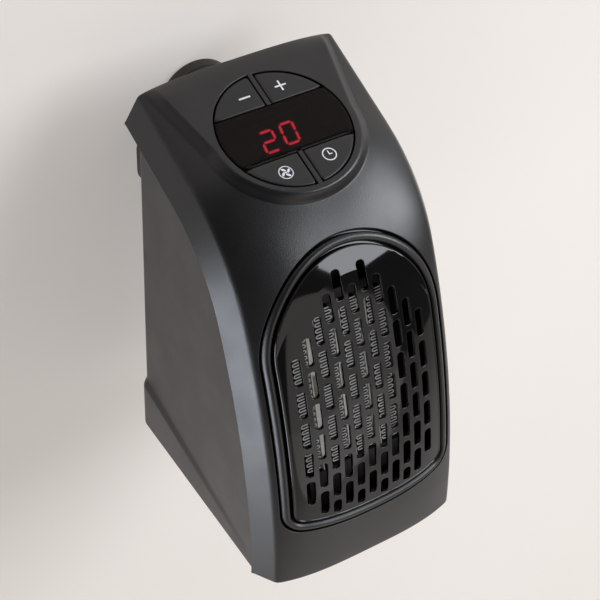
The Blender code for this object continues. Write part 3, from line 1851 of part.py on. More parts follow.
def build_rotor():
    """Hub cup with its shaft and seven twisted blades."""
    front = fan_cup_front()
    points = [
        (0.0, front),
        (fan_hub_radius - fan_cup_wall, front),
        (fan_hub_radius, front - fan_cup_wall),
        (fan_hub_radius, front - fan_cup_depth),
        (fan_hub_radius - fan_cup_wall, front - fan_cup_depth),
        (fan_hub_radius - fan_cup_wall, front - fan_cup_wall),
        (fan_shaft_radius, front - fan_cup_wall),
        (fan_shaft_radius, fan_back + fan_arm_thickness / 2 + clearance * 2),
        (0.0, fan_back + fan_arm_thickness / 2 + clearance * 2),
    ]
    shape = revolve(points, 16, core_frame)
    blades = []
    middle = front - fan_cup_depth / 2
    for number in range(fan_blade_count):
        turn = Matrix.Rotation(math.tau * number / fan_blade_count, 4, "Z")
        rings = []
        stations = 3
        root = fan_hub_radius - fan_cup_wall / 2
        for i in range(stations + 1):
            share = i / stations
            radius = root + (fan_radius - root) * share
            pitch = fan_root_pitch + (fan_tip_pitch - fan_root_pitch) * share
            chord = fan_blade_root_chord
            chord += (fan_blade_tip_chord - fan_blade_root_chord) * share
            ring = []
            for along, thick in ((-1, -1), (1, -1), (1, 1), (-1, 1)):
                side = along * chord / 2 * math.cos(pitch)
                side -= thick * fan_blade_thickness / 2 * math.sin(pitch)
                rise = along * chord / 2 * math.sin(pitch)
                rise += thick * fan_blade_thickness / 2 * math.cos(pitch)
                ring.append((math.sqrt(radius**2 - side**2), side, middle + rise))
            rings.append(ring)
        blades.append(loft(rings, core_frame @ turn))
    return boolean(shape, blades, "UNION")


# Power switch parts
def build_switch_body():
    """Bezel on the wall with a hollow body behind it, and hinge sockets."""
    frame = wall_frame()
    outer = rounded_rectangle(switch_half_width, switch_half_height, clearance, 1)
    flange = rounded_rectangle(
        switch_half_width + switch_flange,
        switch_half_height + switch_flange,
        switch_flange / 2,
        2,
    )
    shape = prism(outer, -switch_depth, clearance + sink, frame)
    bezel = prism(flange, clearance, clearance + switch_flange_height, frame)
    shape = boolean(shape, [bezel], "UNION")
    hollow = rounded_rectangle(
        switch_half_width - switch_wall,
        switch_half_height - switch_wall,
        clearance,
        1,
    )
    pocket = prism(hollow, -switch_pocket_depth, overrun, frame)
    hinge = frame @ Matrix.Rotation(math.pi / 2, 4, "Y")
    reach = switch_half_width - switch_wall / 2
    socket = cylinder(rocker_pin_radius + clearance, -reach, reach, hinge, 10)
    return boolean(shape, [pocket, socket])


def build_rocker():
    """Rocker with two hinge pins, tilted to its on position."""
    frame = wall_frame() @ Matrix.Rotation(rocker_tilt, 4, "X")
    half_x = switch_half_width - switch_wall - rocker_clearance
    half_y = switch_half_height - switch_wall - rocker_clearance * 3
    outline = [
        (half_y, -rocker_depth),
        (half_y, rocker_height),
        (0.0, rocker_height * rocker_dip_share),
        (-half_y, rocker_height),
        (-half_y, -rocker_depth),
        (0.0, -rocker_keel),
    ]
    side = frame @ Matrix(
        (
            (0.0, 0.0, 1.0, 0.0),
            (1.0, 0.0, 0.0, 0.0),
            (0.0, 1.0, 0.0, 0.0),
            (0.0, 0.0, 0.0, 1.0),
        )
    )
    shape = prism(outline, -half_x, half_x, side)
    reach = switch_half_width - switch_wall / 2 - clearance
    pins = cylinder(rocker_pin_radius, -reach, reach, side, 8)
    return boolean(shape, [pins], "UNION")


# Terminal block and leads
def build_terminal():
    near = -hub_lead_end()
    outline = rectangle(0.0, 0.0, terminal_half_width, terminal_half_height)
    return prism(outline, -near + clearance, -near + clearance + terminal_length, plug_frame)


def hub_lead_end():
    """Distance from the socket at which the supply lead ends."""
    return -shelf_back_y


def build_supply_lead():
    return cylinder(lead_radius, lead_start, hub_lead_end(), plug_frame, 12)


def make_lead(name, route, material, body):
    """A round wire along a smooth curve, with filled ends."""
    curve = bpy.data.curves.new(name, "CURVE")
    curve.dimensions = "3D"
    curve.bevel_depth = wire_radius
    curve.bevel_resolution = 2
    curve.use_fill_caps = True
    spots = smooth_route(route, wire_points)
    spline = curve.splines.new("POLY")
    spline.points.add(len(spots) - 1)
    for point, spot in zip(spline.points, spots):
        point.co = (*spot, 1.0)
    own = material.copy()
    own.name = name + "_finish"
    curve.materials.append(own)
    item = bpy.data.objects.new(name, curve)
    bpy.context.scene.collection.objects.link(item)
    item.parent = body
    item.matrix_parent_inverse = body.matrix_world.inverted()
    return item


def lead_routes():
    """Ends and waypoints of the inner leads, from the pieces they join."""
    block_front = -hub_lead_end() - clearance * 2 - terminal_length - block_gap
    board_under = -board_depth - board_thickness - clearance * 2
    rear = fan_back - clearance * 2

    def at_board(x, up, drop=0.0):
        return panel_frame @ Vector((x, up, board_under - drop))

    def at_core(x, up, out):
        return core_frame @ Vector((x, up, out))

    def at_switch(up, inward):
        return wall_frame() @ Vector((0.0, up, -switch_depth - clearance * 2 - inward))

    side = terminal_half_width + clearance * 2
    middle_y = -hub_lead_end() - terminal_length / 2
    step = terminal_length
    frame_top = plenum_half_height + clearance * 2
    pass_y = (shelf_front_y + shelf_back_y) / 2
    upper = switch_half_height / 2
    return {
        "lead_block_to_switch": [
            (side, middle_y, 0.0),
            (side + step * 0.6, middle_y, 0.0),
            (lead_pass_x, pass_y, shelf_top_z),
            (lead_pass_x, pass_y, shelf_top_z - shelf_thickness * 2),
            at_switch(upper, step * 0.6) + Vector((0.0, 0.0, step * 0.6)),
            at_switch(upper, step * 0.3),
            at_switch(upper, 0.0),
        ],
        "lead_block_to_board": [
            (-step * 0.3, block_front, 0.0),
            (-step * 0.3, block_front - step * 0.35, step * 0.1),
            at_board(-step * 0.3, -board_half_height + step * 0.35, step * 0.5),
            at_board(-step * 0.3, -board_half_height + step * 0.3),
        ],
        "lead_board_to_core": [
            at_board(step * 0.5, -board_half_height + step * 0.3),
            at_board(step * 0.5, -board_half_height + step * 0.3, step * 0.5),
            at_core(step * 0.5, frame_top + step * 0.5, -lead_entry_depth),
            at_core(step * 0.5, frame_top, -lead_entry_depth),
        ],
        "lead_switch_to_fan": [
            at_switch(-upper, 0.0),
            at_switch(-upper, step * 0.2),
            at_switch(-upper, step * 0.4),
            at_core(fan_hub_radius + step * 0.3, step * 0.3, rear - step * 0.7),
            at_core(fan_hub_radius * 0.55, 0.0, rear - step * 0.25),
            at_core(fan_hub_radius * 0.5, 0.0, rear),
        ],
    }


def main():
    clear_scene()
    satin_black = make_material("satin_black_plastic", (0.035, 0.034, 0.034), 0.42)
    gloss_black = make_material("gloss_black_plastic", (0.012, 0.012, 0.013), 0.12)
    lens_black = make_material("smoked_lens", (0.020, 0.008, 0.008), 0.08)
    button_black = make_material("button_plastic", (0.030, 0.030, 0.031), 0.38)
    inner_black = make_material("inner_plastic", (0.020, 0.020, 0.020), 0.55)
    ceramic = make_material("beige_ceramic", (0.55, 0.50, 0.40), 0.70)
    aluminium = make_material("aluminium", (0.72, 0.72, 0.73), 0.38, 1.0)
    brass = make_material("brass", (0.78, 0.62, 0.30), 0.30, 1.0)
    steel = make_material("steel", (0.55, 0.55, 0.56), 0.35, 1.0)
    circuit = make_material("circuit_board", (0.05, 0.16, 0.07), 0.50)
    copper = make_material("copper_winding", (0.60, 0.28, 0.13), 0.35, 1.0)
    wire = make_material("wire_insulation", (0.45, 0.06, 0.05), 0.50)

    plug_root = make_pivot("plug_root", Matrix())
    body = make_pivot("heater_swivel", Matrix(), plug_root)

    place("plug_base", build_plug_base(), inner_black, plug_root)
    place("plug_shell", build_plug_shell(), inner_black, plug_root)
    for name in pin_places:
        place(name, build_pin(name), brass, plug_root)
    place("live_pin_sleeve", build_sleeve("live_pin"), inner_black, plug_root)
    place("neutral_pin_sleeve", build_sleeve("neutral_pin"), inner_black, plug_root)
    place("fuse_carrier", build_carrier(), inner_black, plug_root)
    place("fuse", build_fuse(), ceramic, plug_root)
    place("swivel_retainer", build_retainer(), inner_black, plug_root)
    place("supply_lead", build_supply_lead(), inner_black, plug_root)
    sides = {"left": -1, "right": 1}
    for side_name, side in sides.items():
        seat = plug_frame @ Matrix.Translation(
            (side * plug_screw_x, plug_screw_z, screw_head_height + clearance)
        )
        place(f"plug_screw_{side_name}", build_screw(seat), steel, plug_root)
        top = -housing_back_y + housing_wall + clearance * 3 + retainer_thickness
        seat = plug_frame @ Matrix.Translation((side * retainer_screw_radius, 0.0, top))
        seat = seat @ Matrix.Rotation(math.pi, 4, "X")
        place(f"retainer_screw_{side_name}", build_screw(seat), steel, plug_root)

    place("rear_housing", build_housing(), satin_black, body)
    place("front_fascia", build_fascia(), satin_black, body)
    place("outlet_ring", build_ring(), satin_black, body)
    place("outlet_grille", build_grille(), gloss_black, body)
    place("display_lens", build_lens(), lens_black, body)
    place("control_board", build_board(), circuit, body)
    place("led_display", build_display(), inner_black, body)
    place("board_capacitor", board_part(capacitor_size, capacitor_place), ceramic, body)
    place("board_relay", board_part(relay_size, relay_place), inner_black, body)
    place("core_frame", build_core_frame(), inner_black, body)
    for number, centre in enumerate(fin_centres(), 1):
        place(f"fin_pack_{number}", build_fin_pack(centre), aluminium, body)
    for number in range(3):
        centre = bar_pitch * (number - 1)
        half = bar_width / 2
        bar = block(
            (centre - half, centre + half),
            (-core_half_length, core_half_length),
            (-core_half_depth, core_half_depth),
            core_frame,
        )
        place(f"heating_bar_{number + 1}", bar, ceramic, body)
    width, height, depth = cutout_size
    high = plenum_half_height - plenum_wall - clearance
    low = -core_half_depth - clearance * 2
    cutout = block(
        (-width / 2, width / 2),
        (high - height, high),
        (low - depth, low),
        core_frame,
    )
    place("thermal_cutout", cutout, steel, body)
    place("fan_frame", build_fan_frame(), inner_black, body)
    place("fan_bearing", build_bearing(), brass, body)
    place("motor_stator", build_stator(), copper, body)
    place("switch_body", build_switch_body(), inner_black, body)
    place("terminal_block", build_terminal(), ceramic, body)
    for number, (x, z, end_y) in enumerate(post_places()):
        name = ("upper_left", "lower_left", "upper_right", "lower_right")[number]
        depth = -end_y - post_floor - clearance
        seat = plug_frame @ Matrix.Translation((x, z, depth))
        place(f"housing_screw_{name}", build_screw(seat), steel, body)
    for side_name, side in sides.items():
        depth = -board_depth - board_thickness - clearance
        seat = panel_frame @ Matrix.Translation((side * board_screw_x, 0.0, depth))
        place(f"board_screw_{side_name}", build_screw(seat, screw_length * 0.62), steel, body)
    for (x, y), name in zip(fan_screw_places(), ("upper", "lower")):
        depth = fan_face - fan_plate - clearance
        seat = core_frame @ Matrix.Translation((x, y, depth))
        place(f"fan_screw_{name}", build_screw(seat), steel, body)
    for name, route in lead_routes().items():
        make_lead(name, route, wire, body)

    for name in button_corners:
        x, y = centre_of(sector_of(name, panel_opening_radius - panel_edge_gap, divider_gap))
        pivot = make_pivot(
            f"button_{name}_slide",
            panel_frame @ Matrix.Translation((x, y, 0.0)),
            body,
        )
        place(f"button_{name}", build_button(name), button_black, pivot)
        place(f"tact_switch_{name}", build_tact_switch(name), inner_black, body)
    spin = make_pivot("fan_spin", core_frame, body)
    place("fan_rotor", build_rotor(), inner_black, spin)
    hinge = make_pivot("rocker_hinge", wall_frame(), body)
    place("switch_rocker", build_rocker(), gloss_black, hinge)


main()
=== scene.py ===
# %% [markdown]
# # Dressing a plug-in fan heater
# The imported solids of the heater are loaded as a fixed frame. They give every size and
# joint, and this script gives the looks: fine moulded skins, satin and gloss plastics,
# a lit display, and the silver core behind the grille.

# %% Load the frame
import math

import bmesh
import bpy
import numpy as np
from mathutils import Matrix, Vector
from mathutils.geometry import delaunay_2d_cdt


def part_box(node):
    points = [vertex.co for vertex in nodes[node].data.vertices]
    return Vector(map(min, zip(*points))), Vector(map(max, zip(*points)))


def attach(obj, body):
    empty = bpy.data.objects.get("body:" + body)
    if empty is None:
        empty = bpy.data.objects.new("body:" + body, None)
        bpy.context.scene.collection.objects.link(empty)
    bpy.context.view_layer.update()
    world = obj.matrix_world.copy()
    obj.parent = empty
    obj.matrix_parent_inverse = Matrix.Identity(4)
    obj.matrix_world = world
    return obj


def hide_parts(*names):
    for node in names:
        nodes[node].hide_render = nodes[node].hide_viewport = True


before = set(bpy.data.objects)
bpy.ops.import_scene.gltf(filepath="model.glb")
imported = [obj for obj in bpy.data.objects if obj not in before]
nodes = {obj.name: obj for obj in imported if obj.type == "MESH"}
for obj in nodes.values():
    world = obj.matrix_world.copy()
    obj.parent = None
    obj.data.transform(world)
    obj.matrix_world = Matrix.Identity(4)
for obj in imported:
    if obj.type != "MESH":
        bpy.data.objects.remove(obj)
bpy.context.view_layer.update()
MM = 0.001
print("nodes in the frame:", len(nodes))

# %% [markdown]
# ## Camera
# The photograph was taken from the upper left with a long lens. The place and the turn
# of the camera come from measured points of the object, so they are plain numbers here.

# %% Camera
def placed(name, data):
    item = bpy.data.objects.new(name, data)
    bpy.context.scene.collection.objects.link(item)
    return item


camera_place = Vector((-228.5, -411.1, 345.4)) * MM
camera_turn = math.radians(-34.052)
camera_rise = math.radians(42.996)
camera_roll = math.radians(2.761)

camera_back = Vector(
    (
        math.sin(camera_turn) * math.cos(camera_rise),
        -math.cos(camera_turn) * math.cos(camera_rise),
        math.sin(camera_rise),
    )
)
level = Vector((math.cos(camera_turn), math.sin(camera_turn), 0.0))
above = camera_back.cross(level)
camera_right = math.cos(camera_roll) * level + math.sin(camera_roll) * above
camera_up = math.cos(camera_roll) * above - math.sin(camera_roll) * level

camera_data = bpy.data.cameras.new("camera")
camera_data.lens = 96.8
camera_data.sensor_width = 36.0
camera_data.clip_start = 0.01
camera = placed("camera", camera_data)
axes = Matrix((camera_right, camera_up, camera_back)).transposed().to_4x4()
camera.matrix_world = Matrix.Translation(camera_place) @ axes
bpy.context.scene.camera = camera

# %% [markdown]
# ## Wall, floor and light
# The heater hangs on a pale wall, so the stage is a wall that runs down into a floor
# in one soft bend. The wall is seen from the room only, and from behind it is clear,
# so that the back of the heater can be looked at too.

# %% Stage
stage_half_width = 2.4
wall_height = 1.6
wall_place_y = 0.0004
floor_depth = -0.95
floor_front_y = -2.6
bend_radius = 0.4


def arc(radius, start, end, count, centre=(0.0, 0.0)):
    """Points from one angle to another round a centre, both ends included."""
    turns = [start + (end - start) * i / count for i in range(count + 1)]
    return [(centre[0] + radius * math.cos(a), centre[1] + radius * math.sin(a)) for a in turns]


bend_centre = (wall_place_y - bend_radius, floor_depth + bend_radius)
outline = [(wall_place_y, wall_height), *arc(bend_radius, 0.0, -math.pi / 2, 16, bend_centre)]
outline.append((floor_front_y, floor_depth))
stage_shape = bmesh.new()
line = [stage_shape.verts.new((stage_half_width, y, z)) for y, z in outline]
edges = [stage_shape.edges.new(pair) for pair in zip(line, line[1:])]
swept = bmesh.ops.extrude_edge_only(stage_shape, edges=edges)
moved = [item for item in swept["geom"] if isinstance(item, bmesh.types.BMVert)]
bmesh.ops.translate(stage_shape, vec=(-2 * stage_half_width, 0.0, 0.0), verts=moved)
stage_shape.normal_update()
if stage_shape.faces[:][0].normal.y > 0.0:
    bmesh.ops.reverse_faces(stage_shape, faces=stage_shape.faces)
stage_mesh = bpy.data.meshes.new("stage")
stage_shape.to_mesh(stage_mesh)
stage_shape.free()
stage_mesh.shade_smooth()
stage = placed("stage", stage_mesh)

# %% [markdown]
# Every material is a small tree of nodes. One helper links an input to another node's
# output or sets it to a number or a colour, and the rest of them build on it.

# %% Node helpers and plaster
def feed(tree, node, values):
    """Link or set inputs of a node, given by name or by number."""
    for label, value in values.items():
        socket = node.inputs[label]
        if hasattr(value, "links"):
            tree.links.new(value, socket)
        else:
            socket.default_value = (*value, 1.0) if isinstance(value, tuple) else value
    return node


def add_node(tree, kind, values, **settings):
    node = tree.nodes.new("ShaderNode" + kind)
    for setting, value in settings.items():
        setattr(node, setting, value)
    return feed(tree, node, values)


def in_object(tree):
    return add_node(tree, "TexCoord", {}).outputs["Object"]


def noise(tree, scale, detail):
    values = {"Vector": in_object(tree), "Scale": scale, "Detail": detail}
    return add_node(tree, "TexNoise", values).outputs["Fac"]


def remap(tree, value, low, high, to_low=0.0, to_high=1.0, way="SMOOTHSTEP"):
    values = {"From Min": low, "From Max": high, "To Min": to_low, "To Max": to_high}
    node = add_node(tree, "MapRange", {"Value": value, **values}, interpolation_type=way)
    return node.outputs["Result"]


def mixed(tree, factor, first, second):
    values = {"Factor": factor, "A": first, "B": second}
    return add_node(tree, "Mix", values, data_type="RGBA").outputs["Result"]


def new_material(name):
    material = bpy.data.materials.new(name)
    material.use_nodes = True
    tree = material.node_tree
    return material, tree, tree.nodes["Principled BSDF"]


plaster, tree, shader = new_material("pale_plaster")
sideways = add_node(tree, "SeparateXYZ", {"Vector": in_object(tree)}).outputs["X"]
painted_glow_fade = remap(tree, sideways, -0.30, 0.15, way="LINEAR")
# Painted light: the wall glows by itself, dimmer on the left as painted shade and brighter on the
# right as a painted pool of light.
plaster_values = {
    "Base Color": mixed(tree, noise(tree, 9.0, 6.0), (0.50, 0.465, 0.43), (0.53, 0.495, 0.46)),
    "Emission Color": mixed(tree, painted_glow_fade, (0.225, 0.205, 0.189), (0.355, 0.34, 0.327)),
    "Emission Strength": 1.0,
    "Roughness": 0.9,
    "Specular IOR Level": 0.2,
}
lit_side = feed(tree, shader, plaster_values).outputs["BSDF"]
behind = add_node(tree, "NewGeometry", {}).outputs["Backfacing"]
clear = add_node(tree, "BsdfTransparent", {}).outputs["BSDF"]
either = add_node(tree, "MixShader", {"Fac": behind, 1: lit_side, 2: clear})
feed(tree, tree.nodes["Material Output"], {"Surface": either.outputs["Shader"]})
stage_mesh.materials.append(plaster)

# %% [markdown]
# ## Lamps
# A wide soft lamp at the right makes the highlights on the shoulder and on the dished
# border of the grille. A cooler lamp low on the left rakes over the sloping flank, one
# close to the wall lifts the right edge, and a dim one low in front keeps the gloss
# from going dead black. The world only fills the shadows.

# %% Lamps
world = bpy.data.worlds.new("room")
bpy.context.scene.world = world
world.use_nodes = True
sky = world.node_tree.nodes["Background"]
sky.inputs["Color"].default_value = (1.0, 0.97, 0.93, 1.0)
sky.inputs["Strength"].default_value = 0.065
lamp_target = Vector((0.0, -0.06, -0.04))


def lamp(name, place, size, power, colour=(1.0, 1.0, 1.0), outline="RECTANGLE"):
    data = bpy.data.lights.new(name, "AREA")
    data.shape = outline
    data.size, data.size_y = size
    data.energy = power
    data.color = colour
    aim = lamp_target - Vector(place)
    turn = aim.to_track_quat("-Z", "Y").to_matrix().to_4x4()
    placed(name, data).matrix_world = Matrix.Translation(place) @ turn


lamp("key_lamp", (0.83, -1.12, 0.62), (0.75, 0.86), 12.5, (0.92, 0.95, 1.0))
lamp("left_lamp", (-1.2, -0.26, -0.5), (0.6, 0.8), 12.5, (0.84, 0.90, 1.0))
lamp("edge_lamp", (1.2, -0.68, 0.68), (0.5, 1.15), 14.0, (0.92, 0.95, 1.0))
lamp("low_lamp", (0.3, -1.46, -0.42), (1.15, 1.15), 2.5, (1.0, 0.97, 0.93), "ELLIPSE")
bpy.context.scene.view_settings.view_transform = "Standard"

# %% [markdown]
# ## Shared effects
# Moulded plastic is never one flat colour. Its mould was eroded by sparks, which leaves
# a fine grain, and handling makes soft patches of polish. Both effects serve many
# finishes, so each is a node group that is built once and placed with its own values.

# %% Node groups
def new_group(name, inputs, outputs):
    group = bpy.data.node_groups.new(name, "ShaderNodeTree")
    for label, kind, value in inputs:
        socket = group.interface.new_socket(label, in_out="INPUT", socket_type=kind)
        socket.default_value = value
    for label, kind in outputs:
        group.interface.new_socket(label, in_out="OUTPUT", socket_type=kind)
    return group, group.nodes.new("NodeGroupInput"), group.nodes.new("NodeGroupOutput")


grain_group, inlet, outlet = new_group(
    "eroded_grain", [("Scale", "NodeSocketFloat", 3000.0)], [("Height", "NodeSocketFloat")]
)
feed(grain_group, outlet, {"Height": noise(grain_group, inlet.outputs["Scale"], 3.0)})

handling_group, inlet, outlet = new_group(
    "handling",
    [
        ("Color", "NodeSocketColor", (0.03, 0.03, 0.03, 1.0)),
        ("Worn Color", "NodeSocketColor", (0.05, 0.05, 0.05, 1.0)),
        ("Low Roughness", "NodeSocketFloat", 0.4),
        ("High Roughness", "NodeSocketFloat", 0.5),
    ],
    [("Color", "NodeSocketColor"), ("Roughness", "NodeSocketFloat")],
)
given = inlet.outputs
patches = noise(handling_group, 60.0, 5.0)
specks = noise(handling_group, 1400.0, 2.0)
half_patch = remap(handling_group, patches, 0.35, 0.7, 0.0, 0.4)
speck_mask = remap(handling_group, specks, 0.62, 0.74, 0.0, 0.35)
both = add_node(handling_group, "Math", {0: half_patch, 1: speck_mask}, operation="MAXIMUM")
worn = mixed(handling_group, both.outputs["Value"], given["Color"], given["Worn Color"])
rough = remap(handling_group, patches, 0.3, 0.7, given["High Roughness"], given["Low Roughness"])
feed(handling_group, outlet, {"Color": worn, "Roughness": rough})

# %% [markdown]
# ## Finishes
# Each finish is a Principled shader fed by the groups. The record names twelve material
# slots, and every piece takes one of them, so the finishes carry the same names.

# %% Finishes
finishes = {}


def finish(name, colour, worn_colour, roughness, grain=(3000.0, 0.02), metallic=0.0):
    """A finish with handling patches and an eroded grain of a scale and a height in mm."""
    material, tree, shader = new_material(name)
    low, high = roughness
    tones = {"Color": colour, "Worn Color": worn_colour}
    rough = {"Low Roughness": low, "High Roughness": high}
    worn = add_node(tree, "Group", {**tones, **rough}, node_tree=handling_group).outputs
    scale, height = grain
    eroded = add_node(tree, "Group", {"Scale": scale}, node_tree=grain_group).outputs
    relief = {"Strength": 1.0, "Distance": height * MM, "Height": eroded["Height"]}
    bump = add_node(tree, "Bump", relief).outputs
    feed(tree, shader, {"Base Color": worn["Color"], "Roughness": worn["Roughness"]})
    feed(tree, shader, {"Metallic": metallic, "Normal": bump["Normal"]})
    finishes[name] = material
    return shader


satin_dark, satin_worn = (0.0045, 0.0045, 0.005), (0.0068, 0.0068, 0.0075)
satin = finish("satin_black_plastic", satin_dark, satin_worn, (0.33, 0.39), (2600.0, 0.05))
satin.inputs["Specular IOR Level"].default_value = 0.6
finish("gloss_black_plastic", (0.003,) * 3, (0.004,) * 3, (0.05, 0.08), (900.0, 0.0015))
button_dark, button_worn = (0.009, 0.009, 0.0095), (0.013, 0.013, 0.0135)
finish("button_plastic", button_dark, button_worn, (0.42, 0.5), (3200.0, 0.06))
finish("inner_plastic", (0.012,) * 3, (0.018,) * 3, (0.5, 0.6), (2000.0, 0.03))
finish("beige_ceramic", (0.88, 0.85, 0.79), (0.70, 0.66, 0.59), (0.7, 0.85), (1300.0, 0.2))
finish("aluminium", (0.78, 0.77, 0.75), (0.62, 0.61, 0.6), (0.28, 0.4), (2500.0, 0.02), 1.0)
finish("brass", (0.74, 0.52, 0.22), (0.62, 0.42, 0.17), (0.22, 0.34), (1800.0, 0.01), 1.0)
finish("steel", (0.55, 0.55, 0.56), (0.42, 0.42, 0.43), (0.25, 0.4), (2200.0, 0.01), 1.0)
finish("circuit_board", (0.03, 0.12, 0.05), (0.05, 0.16, 0.07), (0.35, 0.45), (1500.0, 0.02))
finish("copper_winding", (0.6, 0.25, 0.12), (0.5, 0.2, 0.1), (0.3, 0.4), (2500.0, 0.1), 1.0)
finish("wire_insulation", (0.4, 0.04, 0.03), (0.3, 0.03, 0.025), (0.4, 0.5), (2000.0, 0.02))
lens_dark, lens_worn = (0.005, 0.003, 0.0025), (0.006, 0.0035, 0.003)
lens_shader = finish("smoked_lens", lens_dark, lens_worn, (0.02, 0.04), (700.0, 0.0003))
lens_shader.inputs["Alpha"].default_value = 0.87
lens_shader.inputs["Specular IOR Level"].default_value = 0.1


def slot_of(item):
    """Name of the material slot that a node of the frame wears."""
    return item.material_slots[0].material.name.split(".")[0]


for item in nodes.values():
    own = slot_of(item)
    for material_slot in item.material_slots:
        material_slot.material = finishes[own]
print("finishes:", len(finishes))

# %% [markdown]
# ## The curve of the front
# The front is a strip of plastic bent over three curves: a slope at the top, a shoulder
# and a long shallow arc. The skins are drawn flat, as a pattern for sheet metal would
# be, with u across, v down and depth inwards, and one function bends them all into
# place. These sizes repeat the solids' own, so each skin lies where its solid is.

# %% Profile
top_edge_z = 0.0367
fascia_back_y = -0.0286
crease_half_width = 0.037
flank_spread = 0.0053
flank_drop = 0.0087
flank_length = math.hypot(flank_spread, flank_drop)
seam_half_width = crease_half_width + flank_spread
sheet_half_width = crease_half_width + flank_length
top_slope = math.radians(21.3)
slope_length = 0.0366
shoulder_radius = 0.0621
shoulder_end = math.radians(65.9)
front_radius = 0.2886
bottom_z = -0.115
edge_fade = 0.008
flank_turn = 6
wall = 0.0022


def arc_centre(point, radius, angle):
    return (point[0] + radius * math.sin(angle), point[1] - radius * math.cos(angle))


def on_arc(centre, radius, angle):
    return (centre[0] - radius * math.sin(angle), centre[1] + radius * math.cos(angle))


bend = (
    fascia_back_y - slope_length * math.cos(top_slope),
    top_edge_z - slope_length * math.sin(top_slope),
)
shoulder_centre = arc_centre(bend, shoulder_radius, top_slope)
shoulder_length = shoulder_radius * (shoulder_end - top_slope)
knee = on_arc(shoulder_centre, shoulder_radius, shoulder_end)
front_centre = arc_centre(knee, front_radius, shoulder_end)
end_angle = math.acos((bottom_z - front_centre[1]) / front_radius)
face_length = slope_length + shoulder_length + front_radius * (end_angle - shoulder_end)


def profile(v):
    """Place (y, z) and slope at a distance v down the face."""
    if v <= slope_length:
        return (
            fascia_back_y - v * math.cos(top_slope),
            top_edge_z - v * math.sin(top_slope),
            top_slope,
        )
    if v <= slope_length + shoulder_length:
        angle = top_slope + (v - slope_length) / shoulder_radius
        return (*on_arc(shoulder_centre, shoulder_radius, angle), angle)
    angle = shoulder_end + (v - slope_length - shoulder_length) / front_radius
    return (*on_arc(front_centre, front_radius, angle), angle)


def foot(y, z):
    """Distance v down the face of the point nearest to (y, z)."""
    v = (fascia_back_y - y) * math.cos(top_slope) + (top_edge_z - z) * math.sin(top_slope)
    if v <= slope_length:
        return v
    angle = math.atan2(shoulder_centre[0] - y, z - shoulder_centre[1])
    if angle <= shoulder_end:
        return slope_length + shoulder_radius * (angle - top_slope)
    angle = math.atan2(front_centre[0] - y, z - front_centre[1])
    return slope_length + shoulder_length + front_radius * (angle - shoulder_end)


def lifted(v, height):
    y, z, angle = profile(v)
    return (y - height * math.sin(angle), z + height * math.cos(angle))


print("the face is", round(face_length / MM, 1), "mm long")

# %% [markdown]
# The face is crowned across its width, and a flat tongue for the control panel stands
# proud of it. A smooth step joins the tongue to the crown, as a moulder's fillet does.

# %% Crown and pad
panel_slope = math.radians(17.6)
panel_centre = lifted(0.031, 0.0051)


def tilted(place, angle):
    """Axes at a place (y, z), turned about X."""
    c, s = math.cos(angle), math.sin(angle)
    rows = (1.0, 0.0, 0.0, 0.0), (0.0, c, -s, place[0]), (0.0, s, c, place[1]), (0.0, 0.0, 0.0, 1.0)
    return Matrix(rows)


panel_axes = tilted(panel_centre, panel_slope)
panel_radius = 0.0235
pad_radius = 0.0251
pad_blend = 0.0042
pad_top_half_width = 0.0318
pad_roll_off = 0.0070
arch_radius = 0.0348
arch_bottom_v = face_length - 0.0212
arch_centre_v = arch_bottom_v - 0.0706
crease_round = 0.0013
crown_top, crown_growth, crown_swell = 0.0021, 0.0017, 0.0038


def smoothstep(value):
    t = min(max(value, 0.0), 1.0)
    return t * t * (3.0 - 2.0 * t)


def crown(x, v):
    t = min(max(v / face_length, 0.0), 1.0)
    middle = crown_top + crown_growth * t + crown_swell * math.sin(math.pi * t) ** 0.8
    return middle * (1.0 - min(abs(x) / crease_half_width, 1.0) ** 3.3)


def panel_height(v):
    """Height of the panel's plane over the crease line at v."""
    y, z, angle = profile(v)
    normal = (-math.sin(panel_slope), math.cos(panel_slope))
    reach = (panel_centre[0] - y) * normal[0] + (panel_centre[1] - z) * normal[1]
    return reach / (-math.sin(angle) * normal[0] + math.cos(angle) * normal[1])


def to_panel(x, v):
    y, z = lifted(v, panel_height(v))
    rise = (y - panel_centre[0]) * math.cos(panel_slope)
    return x, rise + (z - panel_centre[1]) * math.sin(panel_slope)


def to_face(x, rise):
    y = panel_centre[0] + rise * math.cos(panel_slope)
    z = panel_centre[1] + rise * math.sin(panel_slope)
    return x, foot(y, z)


panel_top = to_panel(0.0, 0.0)[1]


def pad_share(x, v):
    if v > arch_centre_v - arch_radius:
        return 0.0
    px, rise = to_panel(x, v)
    if rise <= 0.0:
        away = math.hypot(px, rise) - pad_radius
    else:
        away = abs(px) - pad_radius - (pad_top_half_width - pad_radius) * rise / panel_top
    return 1.0 - smoothstep(away / pad_blend)


def height_at(x, v):
    plain = crown(x, v)
    rolled = 1.0 - max(1.0 - v / pad_roll_off, 0.0) ** 2
    return plain + pad_share(x, v) * rolled * (panel_height(v) - plain)


# %% [markdown]
# Towards both sides the sheet drops off along a crease. A place of the flat sheet is
# found in three steps: its section across, its height, and the turn of the face there.

# %% Bending the sheet
def across(u, v):
    """Section of the skin at v: x and height, with a sharp crease."""
    if abs(u) <= crease_half_width:
        return u, height_at(u, v)
    t = (abs(u) - crease_half_width) / flank_length
    return math.copysign(crease_half_width + flank_spread * t, u), -flank_drop * t


def blended(weights, points):
    return tuple(sum(w * p[i] for w, p in zip(weights, points)) for i in (0, 1))


